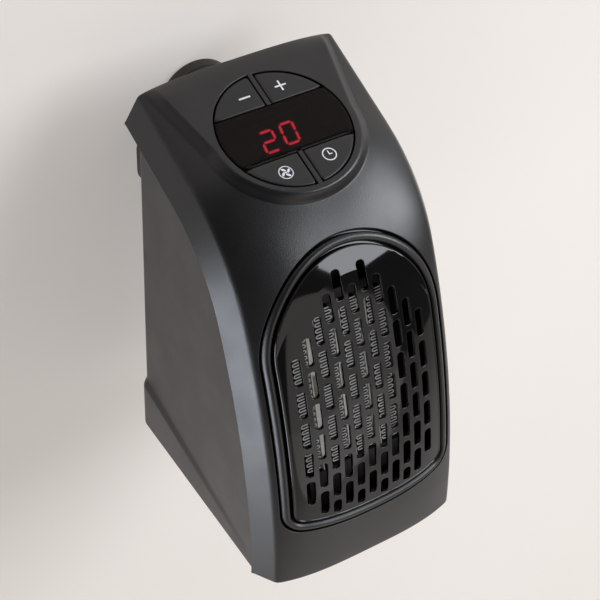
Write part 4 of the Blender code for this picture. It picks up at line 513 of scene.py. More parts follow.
def rounded_across(u, v):
    """The same section with its crease rounded."""
    beyond = abs(u) - crease_half_width
    if abs(beyond) >= crease_round:
        return across(u, v)
    side = math.copysign(1.0, u)
    t = (beyond + crease_round) / (2 * crease_round)
    first = across(side * (crease_half_width - crease_round), v)
    corner = across(side * crease_half_width, v)
    last = across(side * (crease_half_width + crease_round), v)
    weights = ((1 - t) ** 2, 2 * t * (1 - t), t * t)
    return blended(weights, (first, corner, last))


def settled(x, v, off_y, off_z):
    """A point off the crease line, slid along the face so that its ends lie flat."""
    y, z, angle = profile(v)
    slide = off_y / math.cos(top_slope) * max(1.0 - v / edge_fade, 0.0)
    slide += off_z / math.sin(end_angle) * max(1.0 - (face_length - v) / edge_fade, 0.0)
    return Vector((x, y + off_y - slide * math.cos(angle), z + off_z - slide * math.sin(angle)))


def bent(u, v, depth):
    """Place of a point of the flat pattern, at a depth below the skin."""
    angle = profile(v)[2]
    x, height = rounded_across(u, v)
    beyond = (abs(u) - crease_half_width) / flank_length
    if beyond > 0.0:
        turned = min(beyond * flank_turn, 1.0)
        x -= math.copysign(1.0, u) * depth * flank_drop / flank_length * turned
        height -= depth * (1.0 - (1.0 - flank_spread / flank_length) * turned)
        return settled(x, v, -height * math.sin(angle), height * math.cos(angle))
    inward = angle + pad_share(u, v) * (panel_slope - angle)
    off_y = -height * math.sin(angle) + depth * math.sin(inward)
    off_z = height * math.cos(angle) - depth * math.cos(inward)
    return settled(x, v, off_y, off_z)


# %% [markdown]
# ## Cutting the flat pattern
# A constrained triangulation keeps every line that it is given as an edge, so openings
# and rims stay crisp while the rest fills with even triangles. Each line carries a drop,
# its depth below the skin, and four lines with growing drops round an edge off.

# %% Pattern tools
def loop(line):
    return [*line, line[0]]


def beside(line, distance):
    """A line drawn at a distance to the right of another one."""
    moved = []
    for i, (x, y) in enumerate(line):
        ax, ay = line[max(i - 1, 0)]
        bx, by = line[min(i + 1, len(line) - 1)]
        span = math.hypot(bx - ax, by - ay)
        moved.append((x + (by - ay) / span * distance, y - (bx - ax) / span * distance))
    return moved


def inside(points, outline):
    """Even-odd test of many points against one outline."""
    x, y = points[:, 0], points[:, 1]
    hit = np.zeros(len(points), bool)
    for (ax, ay), (bx, by) in zip(outline, loop(outline)[1:]):
        if ay != by:
            crossing = (bx - ax) * (y - ay) / (by - ay) + ax
            hit ^= ((ay > y) != (by > y)) & (x < crossing)
    return hit


def filling(low, high, pitch, lines, distance, keep=lambda x, y: True):
    """Grid points from one corner to another that keep a distance from every line."""
    taken = set()
    for line, _ in lines:
        for (ax, ay), (bx, by) in zip(line, line[1:]):
            count = max(int(math.hypot(bx - ax, by - ay) / distance * 2), 1)
            for i in range(count + 1):
                x = ax + (bx - ax) * i / count
                y = ay + (by - ay) * i / count
                taken.add((round(x / distance), round(y / distance)))
    return [
        (x, y)
        for x in np.arange(low[0], high[0], pitch)
        for y in np.arange(low[1], high[1], pitch)
        if keep(x, y) and (round(x / distance), round(y / distance)) not in taken
    ]


def pattern(points, lines, holes, outer=None):
    """Triangles of the pattern as flat points, their drops and corner numbers.

    Each line is a pair of its points and its drop."""
    coords = [Vector(p) for p in points]
    drops = [0.0] * len(coords)
    edges = []
    for line, drop in lines:
        first = len(coords)
        coords += [Vector(p) for p in line]
        drops += [drop] * len(line)
        edges += [(first + i, first + i + 1) for i in range(len(line) - 1)]
    flat, joins, faces, sources, origins, _ = delaunay_2d_cdt(coords, edges, [], 0, 0.000002)
    corners = []
    for face in faces:
        corners += [(face[0], face[i], face[i + 1]) for i in range(1, len(face) - 1)]
    places = np.array([(p.x, p.y) for p in flat])
    middles = places[np.array(corners)].mean(axis=1)
    kept = np.ones(len(corners), bool)
    for hole in holes:
        kept &= ~inside(middles, hole)
    if outer:
        kept &= inside(middles, outer)
    found = [max((drops[i] for i in source), default=0.0) for source in sources]
    for join, origin in zip(joins, origins):
        for end in join:
            if not sources[end]:
                found[end] = max([found[end]] + [drops[edges[i][0]] for i in origin])
    return flat, found, [c for c, keep in zip(corners, kept) if keep]


# %% [markdown]
# Two copies of a cut pattern, bent over the surface and joined along every free edge,
# make a closed shell. Plain parts of it then get the exact normals of the surface, so
# that a reflection runs over them without a ripple.

# %% Skins and pieces
def skin(flat, corners, top, bottom):
    """A closed shell between two bent copies of the pattern."""
    shape = bmesh.new()
    used = sorted({i for corner in corners for i in corner})
    high = {i: shape.verts.new(top(i)) for i in used}
    low = {i: shape.verts.new(bottom(i)) for i in used}
    sides = set()
    for a, b, c in corners:
        shape.faces.new((high[a], high[b], high[c]))
        shape.faces.new((low[c], low[b], low[a]))
        sides.update(((a, b), (b, c), (c, a)))
    for a, b in sides:
        if (b, a) not in sides:
            shape.faces.new((high[b], high[a], low[a], low[b]))
    bmesh.ops.recalc_face_normals(shape, faces=shape.faces)
    return shape


def join_rows(shape, rows):
    """Faces between rings of vertices that follow each other."""
    for low, high in zip(rows, rows[1:]):
        for i in range(len(low)):
            j = (i + 1) % len(low)
            shape.faces.new((low[i], low[j], high[j], high[i]))


def piece(name, shape, slot, body="heater", stands_for=(), smooth=40.0):
    """Turn a bmesh into a finished piece that rides on a body."""
    mesh = bpy.data.meshes.new(name)
    shape.to_mesh(mesh)
    shape.free()
    item = placed(name, mesh)
    mesh.materials.append(finishes[slot])
    mesh.shade_smooth()
    mesh.set_sharp_from_angle(angle=math.radians(smooth))
    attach(item, body)
    if stands_for:
        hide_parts(*stands_for)
    print(name, len(mesh.polygons), "faces")
    return item


def polish(item, flat, corners, drops, surface, step=0.00005):
    """Give the plain parts of a skin the exact normals of its surface."""
    exact = {}
    for number, i in enumerate(sorted({i for corner in corners for i in corner})):
        if drops[i] == 0.0:
            u, v = flat[i]
            along = surface(u + step, v) - surface(u - step, v)
            down = surface(u, v + step) - surface(u, v - step)
            exact[number] = along.cross(down).normalized()
    mesh = item.data
    normals = [Vector()] * len(mesh.loops)
    for polygon in mesh.polygons:
        for corner in polygon.loop_indices:
            normal = exact.get(mesh.loops[corner].vertex_index)
            if normal and abs(normal.dot(polygon.normal)) > 0.8:
                normals[corner] = normal if normal.dot(polygon.normal) > 0.0 else -normal
    mesh.normals_split_custom_set(normals)


edge_turns = (0.0, 30.0, 60.0, 90.0)


def rounding(radius):
    """Distances from an edge and drops of the lines that round it off."""
    for turn in edge_turns:
        angle = math.radians(turn)
        yield radius * (1.0 - math.sin(angle)), radius * (1.0 - math.cos(angle))


def rounded_off(outline_at, radius):
    """Closed lines and drops round an outline that is given by its distance."""
    return [(loop(outline_at(away)), drop) for away, drop in rounding(radius)]


# %% [markdown]
# ## Outlines of the outlet and the panel
# The outlet is an arch with a bowed sill. An inset of it is a true parallel, so ring,
# border and slots run evenly. The panel is a disc cut by the lens and two dividers.

# %% Outlines
bow_radius = 0.140
bow_centre_v = arch_bottom_v - bow_radius
arch_corner = 0.0090
corner_x = arch_radius - arch_corner
corner_v = bow_centre_v + math.sqrt((bow_radius - arch_corner) ** 2 - corner_x**2)
corner_end = math.atan2(corner_v - bow_centre_v, corner_x)


def arch(inset):
    """Outline of the outlet in (x, v) at an inset."""
    radius, corner, bow = arch_radius - inset, arch_corner - inset, bow_radius - inset
    half = arc(bow, math.pi / 2, corner_end, 24, (0.0, bow_centre_v))
    half += arc(corner, corner_end, 0.0, 12, (corner_x, corner_v))[1:]
    half += [(radius, corner_v + (arch_centre_v - corner_v) * i / 24) for i in range(1, 24)]
    half += arc(radius, 0.0, -math.pi / 2, 48, (0.0, arch_centre_v))
    return half + [(-x, v) for x, v in reversed(half[1:-1])]


def arch_inset(x, v):
    """How far a point lies inside the outlet's outline."""
    found = [arch_radius - abs(x), bow_radius - math.hypot(x, v - bow_centre_v)]
    if v < arch_centre_v:
        found.append(arch_radius - math.hypot(x, v - arch_centre_v))
    if abs(x) > corner_x and v > corner_v:
        found.append(arch_corner - math.hypot(abs(x) - corner_x, v - corner_v))
    return min(found)


def swept_arch(section):
    """Carry a section of (inset, depth) points round the outlet."""
    rings = [[bent(x, v, depth) for x, v in arch(inset)] for inset, depth in section]
    shape = bmesh.new()
    rows = [[shape.verts.new(p) for p in ring] for ring in rings]
    join_rows(shape, rows + rows[:1])
    bmesh.ops.recalc_face_normals(shape, faces=shape.faces)
    return shape


divider_half = 0.00085
corner_share = 0.29
lens_top, lens_bottom = 0.0100, -0.0097
button_corners = {"minus": (-1, 1), "plus": (1, 1), "speed": (-1, -1), "timer": (1, -1)}


def sector(name, radius, shrink, soft=0.0):
    """Outline of a button or of its opening, in panel axes."""
    side, high = button_corners[name]
    inner_x = divider_half + shrink
    inner_y = (lens_top if high > 0 else -lens_bottom) + shrink
    start = math.asin((inner_y + soft) / radius)
    end = math.acos((inner_x + soft) / radius)
    near = soft * corner_share
    points = [(inner_x, inner_y + soft), (inner_x + near, inner_y + near)]
    points.append((inner_x + soft, inner_y))
    span = radius * math.cos(start) - inner_x
    points += [(inner_x + span * i / 14, inner_y) for i in range(3, 13)]
    points += arc(radius, start, end, 28)
    span = radius * math.sin(end) - inner_y
    points += [(inner_x, inner_y + span * (1 - i / 12)) for i in range(1, 11)]
    return [(side * x, high * y) for x, y in points]


def lens_outline(radius, grow):
    upper, lower = lens_top + grow, lens_bottom - grow
    side = arc(radius, math.asin(lower / radius), math.asin(upper / radius), 24)
    half = side[-1][0]
    top = [(half - 2 * half * i / 30, upper) for i in range(1, 30)]
    half = side[0][0]
    low = [(-half + 2 * half * i / 30, lower) for i in range(1, 30)]
    return side + top + [(-x, y) for x, y in reversed(side)] + low


def on_face(outline):
    return [to_face(x, y) for x, y in outline]


# %% [markdown]
# ## The front skin
# The big moulded cover. Its pattern holds the outlet, the four button openings and the
# lens pocket. Close lines along the crease and the pad carry their curves, and every
# outer edge is rounded by a third of a millimetre.

# %% Front skin
opening_gap = 0.0003
edge_round = 0.00035
button_edge_round, pocket_edge_round = 0.00025, 0.00015
pocket_inset, pocket_gap, pocket_drop = 0.0001, 0.0002, 0.0018
pocket_slant, pocket_floor = 0.00006, 0.0014
half_width, half_height = 0.0135, 0.0068
grid_margin = 0.001
steps_v = [face_length * i / 110 for i in range(111)]
row = [sheet_half_width * (i / 40 - 1.0) for i in range(81)]
lines = []
for away, drop in rounding(edge_round):
    for v in (away, face_length - away):
        lines.append(([(u, v) for u in row], drop))
    for u in (away - sheet_half_width, sheet_half_width - away):
        lines.append(([(u, v) for v in steps_v], drop))
for share in (-1.0, -0.6, -0.3, 0.0, 0.3, 0.6, 1.0, 2.6, 5.0):
    for side in (-1, 1):
        u = side * (crease_half_width + crease_round * share)
        lines.append(([(u, v) for v in steps_v[1:-1]], 0.0))
lines += rounded_off(lambda away: arch(-opening_gap - away), edge_round)
holes = [arch(-opening_gap)]
for name in button_corners:

    def opening(away):
        return on_face(sector(name, panel_radius + away, -away))

    lines += rounded_off(opening, button_edge_round)
    holes.append(opening(0.0))


def pocket_outline(away):
    return on_face(lens_outline(panel_radius - pocket_inset + away, pocket_gap + away))


lines += rounded_off(pocket_outline, pocket_edge_round)
lines.append((loop(pocket_outline(-pocket_slant)), pocket_drop))
pocket = pocket_outline(0.0)
window = [(x * half_width, y * half_height) for x, y in ((-1, -1), (1, -1), (1, 1), (-1, 1))]
window = on_face(window)
lines.append((loop(window), pocket_drop))
holes.append(window)
for step in range(11):
    radius = pad_radius + pad_blend * step / 10
    half = pad_top_half_width + pad_blend * step / 10
    right = [(radius + (half - radius) * i / 16, panel_top * i / 16) for i in range(16, 0, -1)]
    lower = arc(radius, 0.0, -math.pi, 64)
    rim = on_face(right + lower + [(-x, y) for x, y in reversed(right)])
    lines.append((rim[1:-1], 0.0))


def in_sheet(u, v):
    return abs(u) < sheet_half_width - grid_margin and grid_margin < v < face_length - grid_margin


sheet = (-sheet_half_width, 0.0), (sheet_half_width, face_length)
grid = filling(*sheet, 0.0022, lines, 0.0011, in_sheet)
flat, drops, corners = pattern(grid, lines, holes)
in_pocket = inside(np.array([(p.x, p.y) for p in flat]), pocket)


def top(i):
    drop = pocket_drop if in_pocket[i] and drops[i] == 0.0 else drops[i]
    return bent(flat[i].x, flat[i].y, drop)


def bottom(i):
    deep = pocket_drop + pocket_floor if in_pocket[i] or drops[i] == pocket_drop else wall
    return bent(flat[i].x, flat[i].y, deep)


shape = skin(flat, corners, top, bottom)
print("front pattern:", len(flat), "points", len(corners), "triangles")
front_skin = piece("front_skin", shape, "satin_black_plastic", stands_for=["front_fascia"])
skin_drops = [d or (pocket_drop if deep else 0.0) for d, deep in zip(drops, in_pocket)]
polish(front_skin, flat, corners, skin_drops, lambda u, v: bent(u, v, 0.0))

# %% [markdown]
# ## The outlet ring and its ledge
# A satin bead runs round the outlet, and behind it a collar leads the air from the
# heating core to the grille. Both are one section carried round the arch.

# %% Ring and collar
ring_section = [(0.0005, 0.0027)]
for step in range(13):
    t = step / 12
    drop = 0.0006 - 0.0012 * math.sin(math.pi * t) ** 0.7
    ring_section.append((0.0005 + 0.0029 * t, drop + 0.0003 * t))
ring_section.append((0.0034, 0.0027))
piece("outlet_bead", swept_arch(ring_section), "satin_black_plastic", stands_for=["outlet_ring"])

collar_section = [
    (-0.0020, 0.0012),
    (-0.00045, 0.0012),
    (-0.00045, 0.0047),
    (0.0016, 0.0047),
    (0.0016, 0.0061),
    (-0.00045, 0.0061),
    (-0.00045, 0.0095),
    (-0.0020, 0.0095),
]
piece("outlet_collar", swept_arch(collar_section), "inner_plastic")

# %% [markdown]
# ## The grille
# One gloss moulding: a thin raised rim, a dished crescent that narrows to nothing down
# the sides, and a flat field of upright slots. The columns are staggered by half a
# pitch, and the sill trims the lowest slots.

# %% Grille
field_inset = 0.0050
field_radius = arch_radius - 0.0023
field_centre_v = arch_centre_v + 0.0094
field_drop = 0.0003
slot_width, slot_length = 0.0031, 0.0098
column_pitch, row_pitch = 0.00482, 0.0120
first_slot_v = arch_centre_v - arch_radius + 0.0143
slot_corner, shortest_slot, sill_margin = 0.00125, 0.0044, 0.0008
grille_gap, lip_inset, lip_depth = 0.0002, 0.00412, 0.0030
rim_inset, rim_depth, rim_crest = 0.0047, 0.0044, 0.00445
rim_half_width, rim_drop = 0.0003, 0.00035
step_inset, step_width = 0.0046, 0.0004
grille_thickness = 0.0012


def rounded_box(x, y, half_x, half_y, corner, grow=0.0, count=5):
    """Outline of a box with round corners, drawn at a distance outside it."""
    points = []
    for turn, side, high in ((0, 1, 1), (1, -1, 1), (2, -1, -1), (3, 1, -1)):
        centre = (x + side * (half_x - corner), y + high * (half_y - corner))
        start = math.pi / 2 * turn
        points += arc(corner + grow, start, start + math.pi / 2, count, centre)
    return points


def slot(x, low, high, grow=0.0):
    half, half_length = slot_width / 2, (high - low) / 2
    corner = min(slot_corner, half, half_length)
    return rounded_box(x, (low + high) / 2, half, half_length, corner, grow, 7)


slots = []
for column in range(-5, 6):
    x = column * column_pitch
    middle = first_slot_v + row_pitch / 2 * max(abs(column) - 1, 1 - abs(column))
    bow = bow_radius - field_inset
    lowest = bow_centre_v + math.sqrt(bow * bow - x * x) - sill_margin
    while middle - slot_length / 2 + shortest_slot < lowest:
        slots.append((x, middle - slot_length / 2, min(middle + slot_length / 2, lowest)))
        middle += row_pitch


def field(shrink=0.0):
    """Edge of the flat slotted field: a lower arc inside the arch."""
    points = []
    radius = field_radius - shrink
    for x, v in arch(field_inset + shrink):
        reach = math.hypot(x, v - field_centre_v)
        if v < field_centre_v and reach > radius:
            x *= radius / reach
            v = field_centre_v + (v - field_centre_v) * radius / reach
        points.append((x, v))
    return points


def field_depth(v):
    """The field is bent less than the face, so it rises towards its top."""
    above = max(slope_length + shoulder_length - v, 0.0)
    return field_drop - above * above / (2.0 * shoulder_radius)


def dish(x, v):
    """Depth of the grille's face between the rim and the field."""
    inset = arch_inset(x, v)
    reach = math.hypot(x, v - field_centre_v) - field_radius
    if v > field_centre_v or reach <= 0.0:
        return field_depth(v) * smoothstep((inset - step_inset) / step_width)
    border = max(inset - rim_inset, 0.0)
    edge_v = field_centre_v + (v - field_centre_v) * field_radius / (field_radius + reach)
    return field_depth(edge_v) * (1.0 - reach / (reach + border))


# %% [markdown]
# The moulding is one pattern again. Close lines follow the rim, the edge of the field
# and the dish between them, and every slot has a rounded edge.

# %% Grille moulding
lines = [(loop(arch(grille_gap)), 0.0)]
for inset in (0.0041, 0.00415, 0.0043, 0.00445, 0.0046, 0.0048):
    lines.append((loop(arch(inset)), 0.0))
for shrink in (-0.00012, 0.0, 0.00012):
    lines.append((loop(field(shrink)), 0.0))
for share in (0.12, 0.24, 0.36, 0.48, 0.6, 0.72, 0.84, 0.94):
    row = []
    for (ax, av), (bx, bv) in zip(field(), arch(rim_inset)):
        if math.hypot(bx - ax, bv - av) > 0.0007:
            row.append((ax + (bx - ax) * share, av + (bv - av) * share))
    lines.append((row, 0.0))
holes = []
for x, low, high in slots:
    lines += rounded_off(lambda away: slot(x, low, high, away), 0.0002)
    holes.append(slot(x, low, high))


def in_field(x, v):
    below = v > field_centre_v or math.hypot(x, v - field_centre_v) < field_radius
    return below and arch_inset(x, v) > field_inset + 0.0002


block = (-arch_radius, arch_centre_v - arch_radius), (arch_radius, arch_bottom_v)
grid = filling(*block, 0.0010, lines, 0.0005, in_field)
flat, drops, corners = pattern(grid, lines, holes, arch(grille_gap))


def top(i):
    x, v = flat[i].x, flat[i].y
    inset = arch_inset(x, v)
    if inset < lip_inset:
        return bent(x, v, lip_depth)
    if inset < rim_inset:
        rim = (inset - rim_crest) / rim_half_width
        return bent(x, v, rim_drop * min(rim * rim, 1.0))
    return bent(x, v, dish(x, v) + drops[i])


def bottom(i):
    x, v = flat[i].x, flat[i].y
    in_rim = arch_inset(x, v) < rim_inset
    return bent(x, v, rim_depth if in_rim else dish(x, v) + grille_thickness)


shape = skin(flat, corners, top, bottom)
gloss = "gloss_black_plastic"
grille = piece("slotted_grille", shape, gloss, stands_for=["outlet_grille"], smooth=50.0)
rim_drops = [d or float(arch_inset(p.x, p.y) < 0.0048) for p, d in zip(flat, drops)]
polish(grille, flat, corners, rim_drops, lambda x, v: bent(x, v, dish(x, v)))
print("slots:", len(slots))

# %% [markdown]
# ## The heating core
# Each fin pack is one thin aluminium strip folded to and fro more than fifty times. Two
# lines are drawn beside its bent middle line and extruded through the core's depth. The
# bars between the packs are ceramic stones held between two thin strips, and a gap
# between the stones shows through the grille. The foil is bright at its front edge, and
# behind it its colour is painted dark as painted shade deep between the folds.

# %% Heating core
core_station = arch_centre_v + 0.0250
core_place = lifted(core_station, -0.0134)
core_turn = math.radians(1.4)
core_axes = tilted(core_place, profile(core_station)[2] - core_turn)
core_half_length, core_half_depth = 0.0380, 0.0050
fins_low, fins_high = -0.0285, 0.0340
bar_spans = ((-0.0126, -0.0090), (-0.0014, 0.0014), (0.0090, 0.0118))
pack_reach, fin_gap = 0.0194, 0.0003
fin_pitch = 0.00112
fin_thickness = 0.0004


def fin_line(half):
    """To-and-fro line of a folded strip, with round turns."""
    count = int((fins_high - fins_low) / fin_pitch) - 1
    turn = fin_pitch / 2
    points = []
    for i in range(count):
        y = (fins_low + fins_high) / 2 + fin_pitch * (i - (count - 1) / 2)
        side = 1 if i % 2 else -1
        points.append((-side * (half - turn), y))
        points.append((side * (half - turn), y))
        if i < count - 1:
            for k in range(1, 5):
                angle = math.pi * k / 5 - math.pi / 2
                x = half - turn + turn * math.cos(angle)
                points.append((side * x, y + turn + turn * math.sin(angle)))
    return points


def extrude(shape, height):
    """Give flat faces a thickness along Z."""
    swept = bmesh.ops.extrude_face_region(shape, geom=shape.faces[:])
    moved = [item for item in swept["geom"] if isinstance(item, bmesh.types.BMVert)]
    bmesh.ops.translate(shape, vec=(0.0, 0.0, height), verts=moved)


foil, tree, shader = new_material("fin_foil")
outward = core_axes.col[2].to_3d()
spot = {0: in_object(tree), 1: outward}
along = add_node(tree, "VectorMath", spot, operation="DOT_PRODUCT")
front = core_axes.translation.dot(outward) + core_half_depth
# Painted shade: the foil turns dark a few tenths of a millimetre behind its front edge, standing in
# for the shade deep between the folds.
painted_shade_mask = remap(tree, along.outputs["Value"], front - 0.00035, front - 0.00005)
bright = mixed(tree, noise(tree, 1800.0, 3.0), (0.80, 0.79, 0.77), (0.95, 0.94, 0.92))
foil_with_painted_shade = mixed(tree, painted_shade_mask, (0.012, 0.011, 0.011), bright)
feed(tree, shader, {"Base Color": foil_with_painted_shade, "Metallic": 0.3, "Roughness": 0.45})

pack_walls = [-pack_reach] + [x for span in bar_spans for x in span] + [pack_reach]
for number in range(4):
    left, right = pack_walls[2 * number : 2 * number + 2]
    centre = (left + right) / 2
    half = (right - left) / 2 - fin_gap - fin_thickness / 2
    shape = bmesh.new()
    rows = []
    for side in (-1, 1):
        edge = beside(fin_line(half), side * fin_thickness / 2)
        rows.append([shape.verts.new((centre + x, y, -core_half_depth)) for x, y in edge])
    for i in range(len(rows[0]) - 1):
        shape.faces.new((rows[0][i], rows[0][i + 1], rows[1][i + 1], rows[1][i]))
    extrude(shape, 2 * core_half_depth)
    bmesh.ops.transform(shape, matrix=core_axes, verts=shape.verts)
    bmesh.ops.recalc_face_normals(shape, faces=shape.faces)
    solid = f"fin_pack_{number + 1}"
    fins = piece(f"folded_fins_{number + 1}", shape, "aluminium", stands_for=[solid])
    fins.data.materials[0] = foil

# %% [markdown]
# The bars and the blocks at both ends of the core are boxes with softened edges.

# %% Heating bars
def bevel(shape, edges, width, clamp=False):
    bmesh.ops.bevel(
        shape,
        geom=edges,
        offset=width,
        offset_type="OFFSET",
        segments=2,
        profile=0.5,
        affect="EDGES",
        clamp_overlap=clamp,
        material=-1,
    )


def add_block(shape, spans, soften=0.0):
    """Add a box with softened edges, given by its (low, high) spans."""
    made = bmesh.ops.create_cube(shape, size=1.0)["verts"]
    size = Vector([high - low for low, high in spans])
    middle = Vector([(high + low) / 2 for low, high in spans])
    bmesh.ops.scale(shape, vec=size, verts=made)
    bmesh.ops.translate(shape, vec=middle, verts=made)
    if soften:
        bevel(shape, list({edge for vert in made for edge in vert.link_edges}), soften)


stone_spans = ((-0.0250, -0.0020), (0.0090, 0.0340))
strip_thickness = 0.0005
fins_span = (fins_low, fins_high)
core_depths = (-core_half_depth, core_half_depth)
stone_depths = (-core_half_depth, core_half_depth - 0.0003)
for number, (left, right) in enumerate(bar_spans):
    centre, half = (left + right) / 2, (right - left) / 2
    shape = bmesh.new()
    for side in (-1, 1):
        strip = sorted((centre + side * half, centre + side * (half - strip_thickness)))
        add_block(shape, (strip, fins_span, core_depths), 0.0001)
    inner = half - strip_thickness
    for stone in stone_spans:
        add_block(shape, ((centre - inner, centre + inner), stone, stone_depths), 0.0004)
    bmesh.ops.transform(shape, matrix=core_axes, verts=shape.verts)
    solid = f"heating_bar_{number + 1}"
    piece(f"ceramic_bar_{number + 1}", shape, "beige_ceramic", stands_for=[solid])

shape = bmesh.new()
core_half_width = 0.0191
for low, high in ((-core_half_length, fins_low - 0.0002), (fins_high + 0.0002, core_half_length)):
    spans = ((-core_half_width, core_half_width), (low, high), core_depths)
    add_block(shape, spans, 0.0005)
bmesh.ops.transform(shape, matrix=core_axes, verts=shape.verts)
piece("core_end_blocks", shape, "inner_plastic")

# %% [markdown]
# ## Buttons and lens
# The four caps are quarter shapes with a rounded top edge. A mould leaves their tops
# very slightly crowned, so each top is a small grid and not one flat face.

# %% Button caps
def panel_skin(outline_at, top_z, low_z, round_by, pitch, crown_by=0.0):
    """A cap in panel axes: a rounded rim, an even grid on top and straight sides."""
    lines = rounded_off(outline_at, round_by)
    edge = outline_at(0.0)
    xs, ys = zip(*edge)
    middle = ((min(xs) + max(xs)) / 2, (min(ys) + max(ys)) / 2)
    reach = max(max(xs) - min(xs), max(ys) - min(ys)) / 2
    grid = filling((min(xs), min(ys)), (max(xs), max(ys)), pitch, lines, pitch / 2)
    flat, drops, corners = pattern(grid, lines, [], edge)

    def top(i):
        x, y = flat[i].x, flat[i].y
        fall = ((x - middle[0]) ** 2 + (y - middle[1]) ** 2) / reach**2
        return panel_axes @ Vector((x, y, top_z - drops[i] - crown_by * min(fall, 1.0)))

    def bottom(i):
        return panel_axes @ Vector((flat[i].x, flat[i].y, low_z))

    return skin(flat, corners, top, bottom)


cap_low, panel_gap, divider_gap = -0.0034, 0.0006, 0.0004
for name in button_corners:

    def cap_outline(away):
        radius = panel_radius - panel_gap - away
        return sector(name, radius, divider_gap + away, 0.0004)

    shape = panel_skin(cap_outline, 0.0, cap_low, 0.0004, 0.0012, 0.0001)
    piece(f"cap_{name}", shape, "button_plastic", f"{name}_button", [f"button_{name}"])


def lens_rim(away):
    return lens_outline(panel_radius - panel_gap - away, -0.0003 - away)


lens = panel_skin(lens_rim, 0.0, -0.0015, 0.0003, 0.0016)
piece("tinted_lens", lens, "smoked_lens", stands_for=["display_lens"])

# %% [markdown]
# ## Printed marks
# They are thin raised shapes in off-white paint: a minus, a plus, a fan for the speed
# and a clock for the timer. Each lies where the photograph shows a mark.

# %% Printed marks
paint, tree, shader = new_material("mark_paint")
spread = remap(tree, noise(tree, 5000.0, 2.0), 0.3, 0.7)
off_white = mixed(tree, spread, (0.72, 0.74, 0.78), (0.84, 0.86, 0.90))
feed(tree, shader, {"Base Color": off_white, "Roughness": 0.55})
mark_thickness = 0.00004
photo_size = 600


def mark(name, outlines, rings, place, body, turn=0.0, low=0.0, material=None, axes=panel_axes):
    """Flat printed shapes, in panel axes as a rule, as thick as the paint."""
    shape = bmesh.new()
    for outline in outlines:
        verts = [shape.verts.new((x, y, 0.0)) for x, y in outline]
        shape.faces.new(verts)
    for ring in rings:
        join_rows(shape, [[shape.verts.new((x, y, 0.0)) for x, y in line] for line in ring])
    extrude(shape, mark_thickness)
    bmesh.ops.recalc_face_normals(shape, faces=shape.faces)
    spot = Matrix.Translation((place[0], place[1], low)) @ Matrix.Rotation(turn, 4, "Z")
    bmesh.ops.transform(shape, matrix=axes @ spot, verts=shape.verts)
    item = piece(name, shape, "button_plastic", body)
    item.data.materials[0] = material or paint


def disc(radius, count=32, centre=(0.0, 0.0)):
    return arc(radius, 0.0, math.tau, count, centre)[:-1]


def bar(ax, ay, bx, by, width):
    along = Vector((bx - ax, by - ay)).normalized() * width / 2
    x, y = -along.y, along.x
    return [(ax + x, ay + y), (ax - x, ay - y), (bx - x, by - y), (bx + x, by + y)]


def cross(reach, half):
    quarter = [(reach, -half), (reach, half), (half, half)]
    points = []
    for _ in range(4):
        points += quarter
        quarter = [(-y, x) for x, y in quarter]
    return points


def photo_spot(px, py):
    """Panel place seen at a pixel of the photograph."""
    focal = camera_data.lens / camera_data.sensor_width * photo_size
    right, down = (px - photo_size / 2) / focal, (py - photo_size / 2) / focal
    ray = camera_right * right - camera_up * down - camera_back
    normal = panel_axes.to_3x3().col[2]
    start = Vector((0.0, *panel_centre)) - camera_place
    hit = camera_place + ray * (start.dot(normal) / ray.dot(normal))
    local = panel_axes.inverted() @ hit
    return local.x, local.y


minus_spot = photo_spot(244.5, 98.0)
plus_spot = photo_spot(280.3, 85.3)
speed_spot = photo_spot(286.0, 172.5)
timer_spot = photo_spot(329.5, 154.0)
spots = (minus_spot, plus_spot, speed_spot, timer_spot)
print("marks at", [[round(c / MM, 1) for c in spot] for spot in spots])
line_width = 0.00062
arm = 0.0021
mark("minus_mark", [bar(-arm, 0.0, arm, 0.0, line_width)], [], minus_spot, "minus_button")
mark("plus_mark", [cross(arm, line_width / 2)], [], plus_spot, "plus_button")
blade = [(0.00118 + 0.82 * x, 0.46 * y + 0.35 * x) for x, y in disc(0.001, 24)]
blades = []
for _ in range(4):
    blades.append(blade)
    blade = [(-y, x) for x, y in blade]
blades.append(disc(0.00034, 16))
fan_rim = (disc(0.0022, 40), disc(0.0025, 40))
mark("fan_mark", blades, [fan_rim], speed_spot, "speed_button", 0.3)
hands = [bar(0.0, -0.0001, 0.0, 0.0015, 0.00038), bar(-0.0001, 0.0, 0.0011, 0.0, 0.00038)]
mark("clock_mark", hands, [(disc(0.0021, 40), disc(0.0025, 40))], timer_spot, "timer_button")

# %% [markdown]
# ## The lit display
# Two seven-segment digits glow behind the tinted lens. Every segment is a bar with
# pointed ends, and the whole digit leans a little, as they do on such displays.

# %% Display
glow, tree, shader = new_material("lit_segment")
spread = remap(tree, noise(tree, 900.0, 2.0), 0.3, 0.7)
lit_colour = mixed(tree, spread, (1.0, 0.02, 0.05), (1.0, 0.035, 0.075))
feed(tree, shader, {"Emission Color": lit_colour, "Emission Strength": 26.0})
feed(tree, shader, {"Base Color": (0.3, 0.01, 0.01)})
digit_height, digit_width, segment_width = 0.0080, 0.0047, 0.00092
lean = math.radians(8.0)
lit = {"2": "abged", "0": "abcdef"}
ends = {
    "a": ((0, 1), (1, 1)), "b": ((1, 1), (1, 0.5)), "c": ((1, 0.5), (1, 0)), "d": ((0, 0), (1, 0)),
    "e": ((0, 0.5), (0, 0)), "f": ((0, 1), (0, 0.5)), "g": ((0, 0.5), (1, 0.5)),
}


def segment(first, last):
    """A bar with pointed ends between two corners of a digit."""
    a, b = (
        Vector(((x - 0.5) * digit_width, (y - 0.5) * digit_height)) for x, y in (first, last)
    )
    along = (b - a).normalized()
    off = Vector((-along.y, along.x)) * segment_width / 2
    a, b = a + along * 0.0002, b - along * 0.0002
    shoulder = along * segment_width / 2
    points = [a, a + shoulder + off, b - shoulder + off, b, b - shoulder - off, a + shoulder - off]
    return [(p.x + p.y * math.tan(lean), p.y) for p in points]


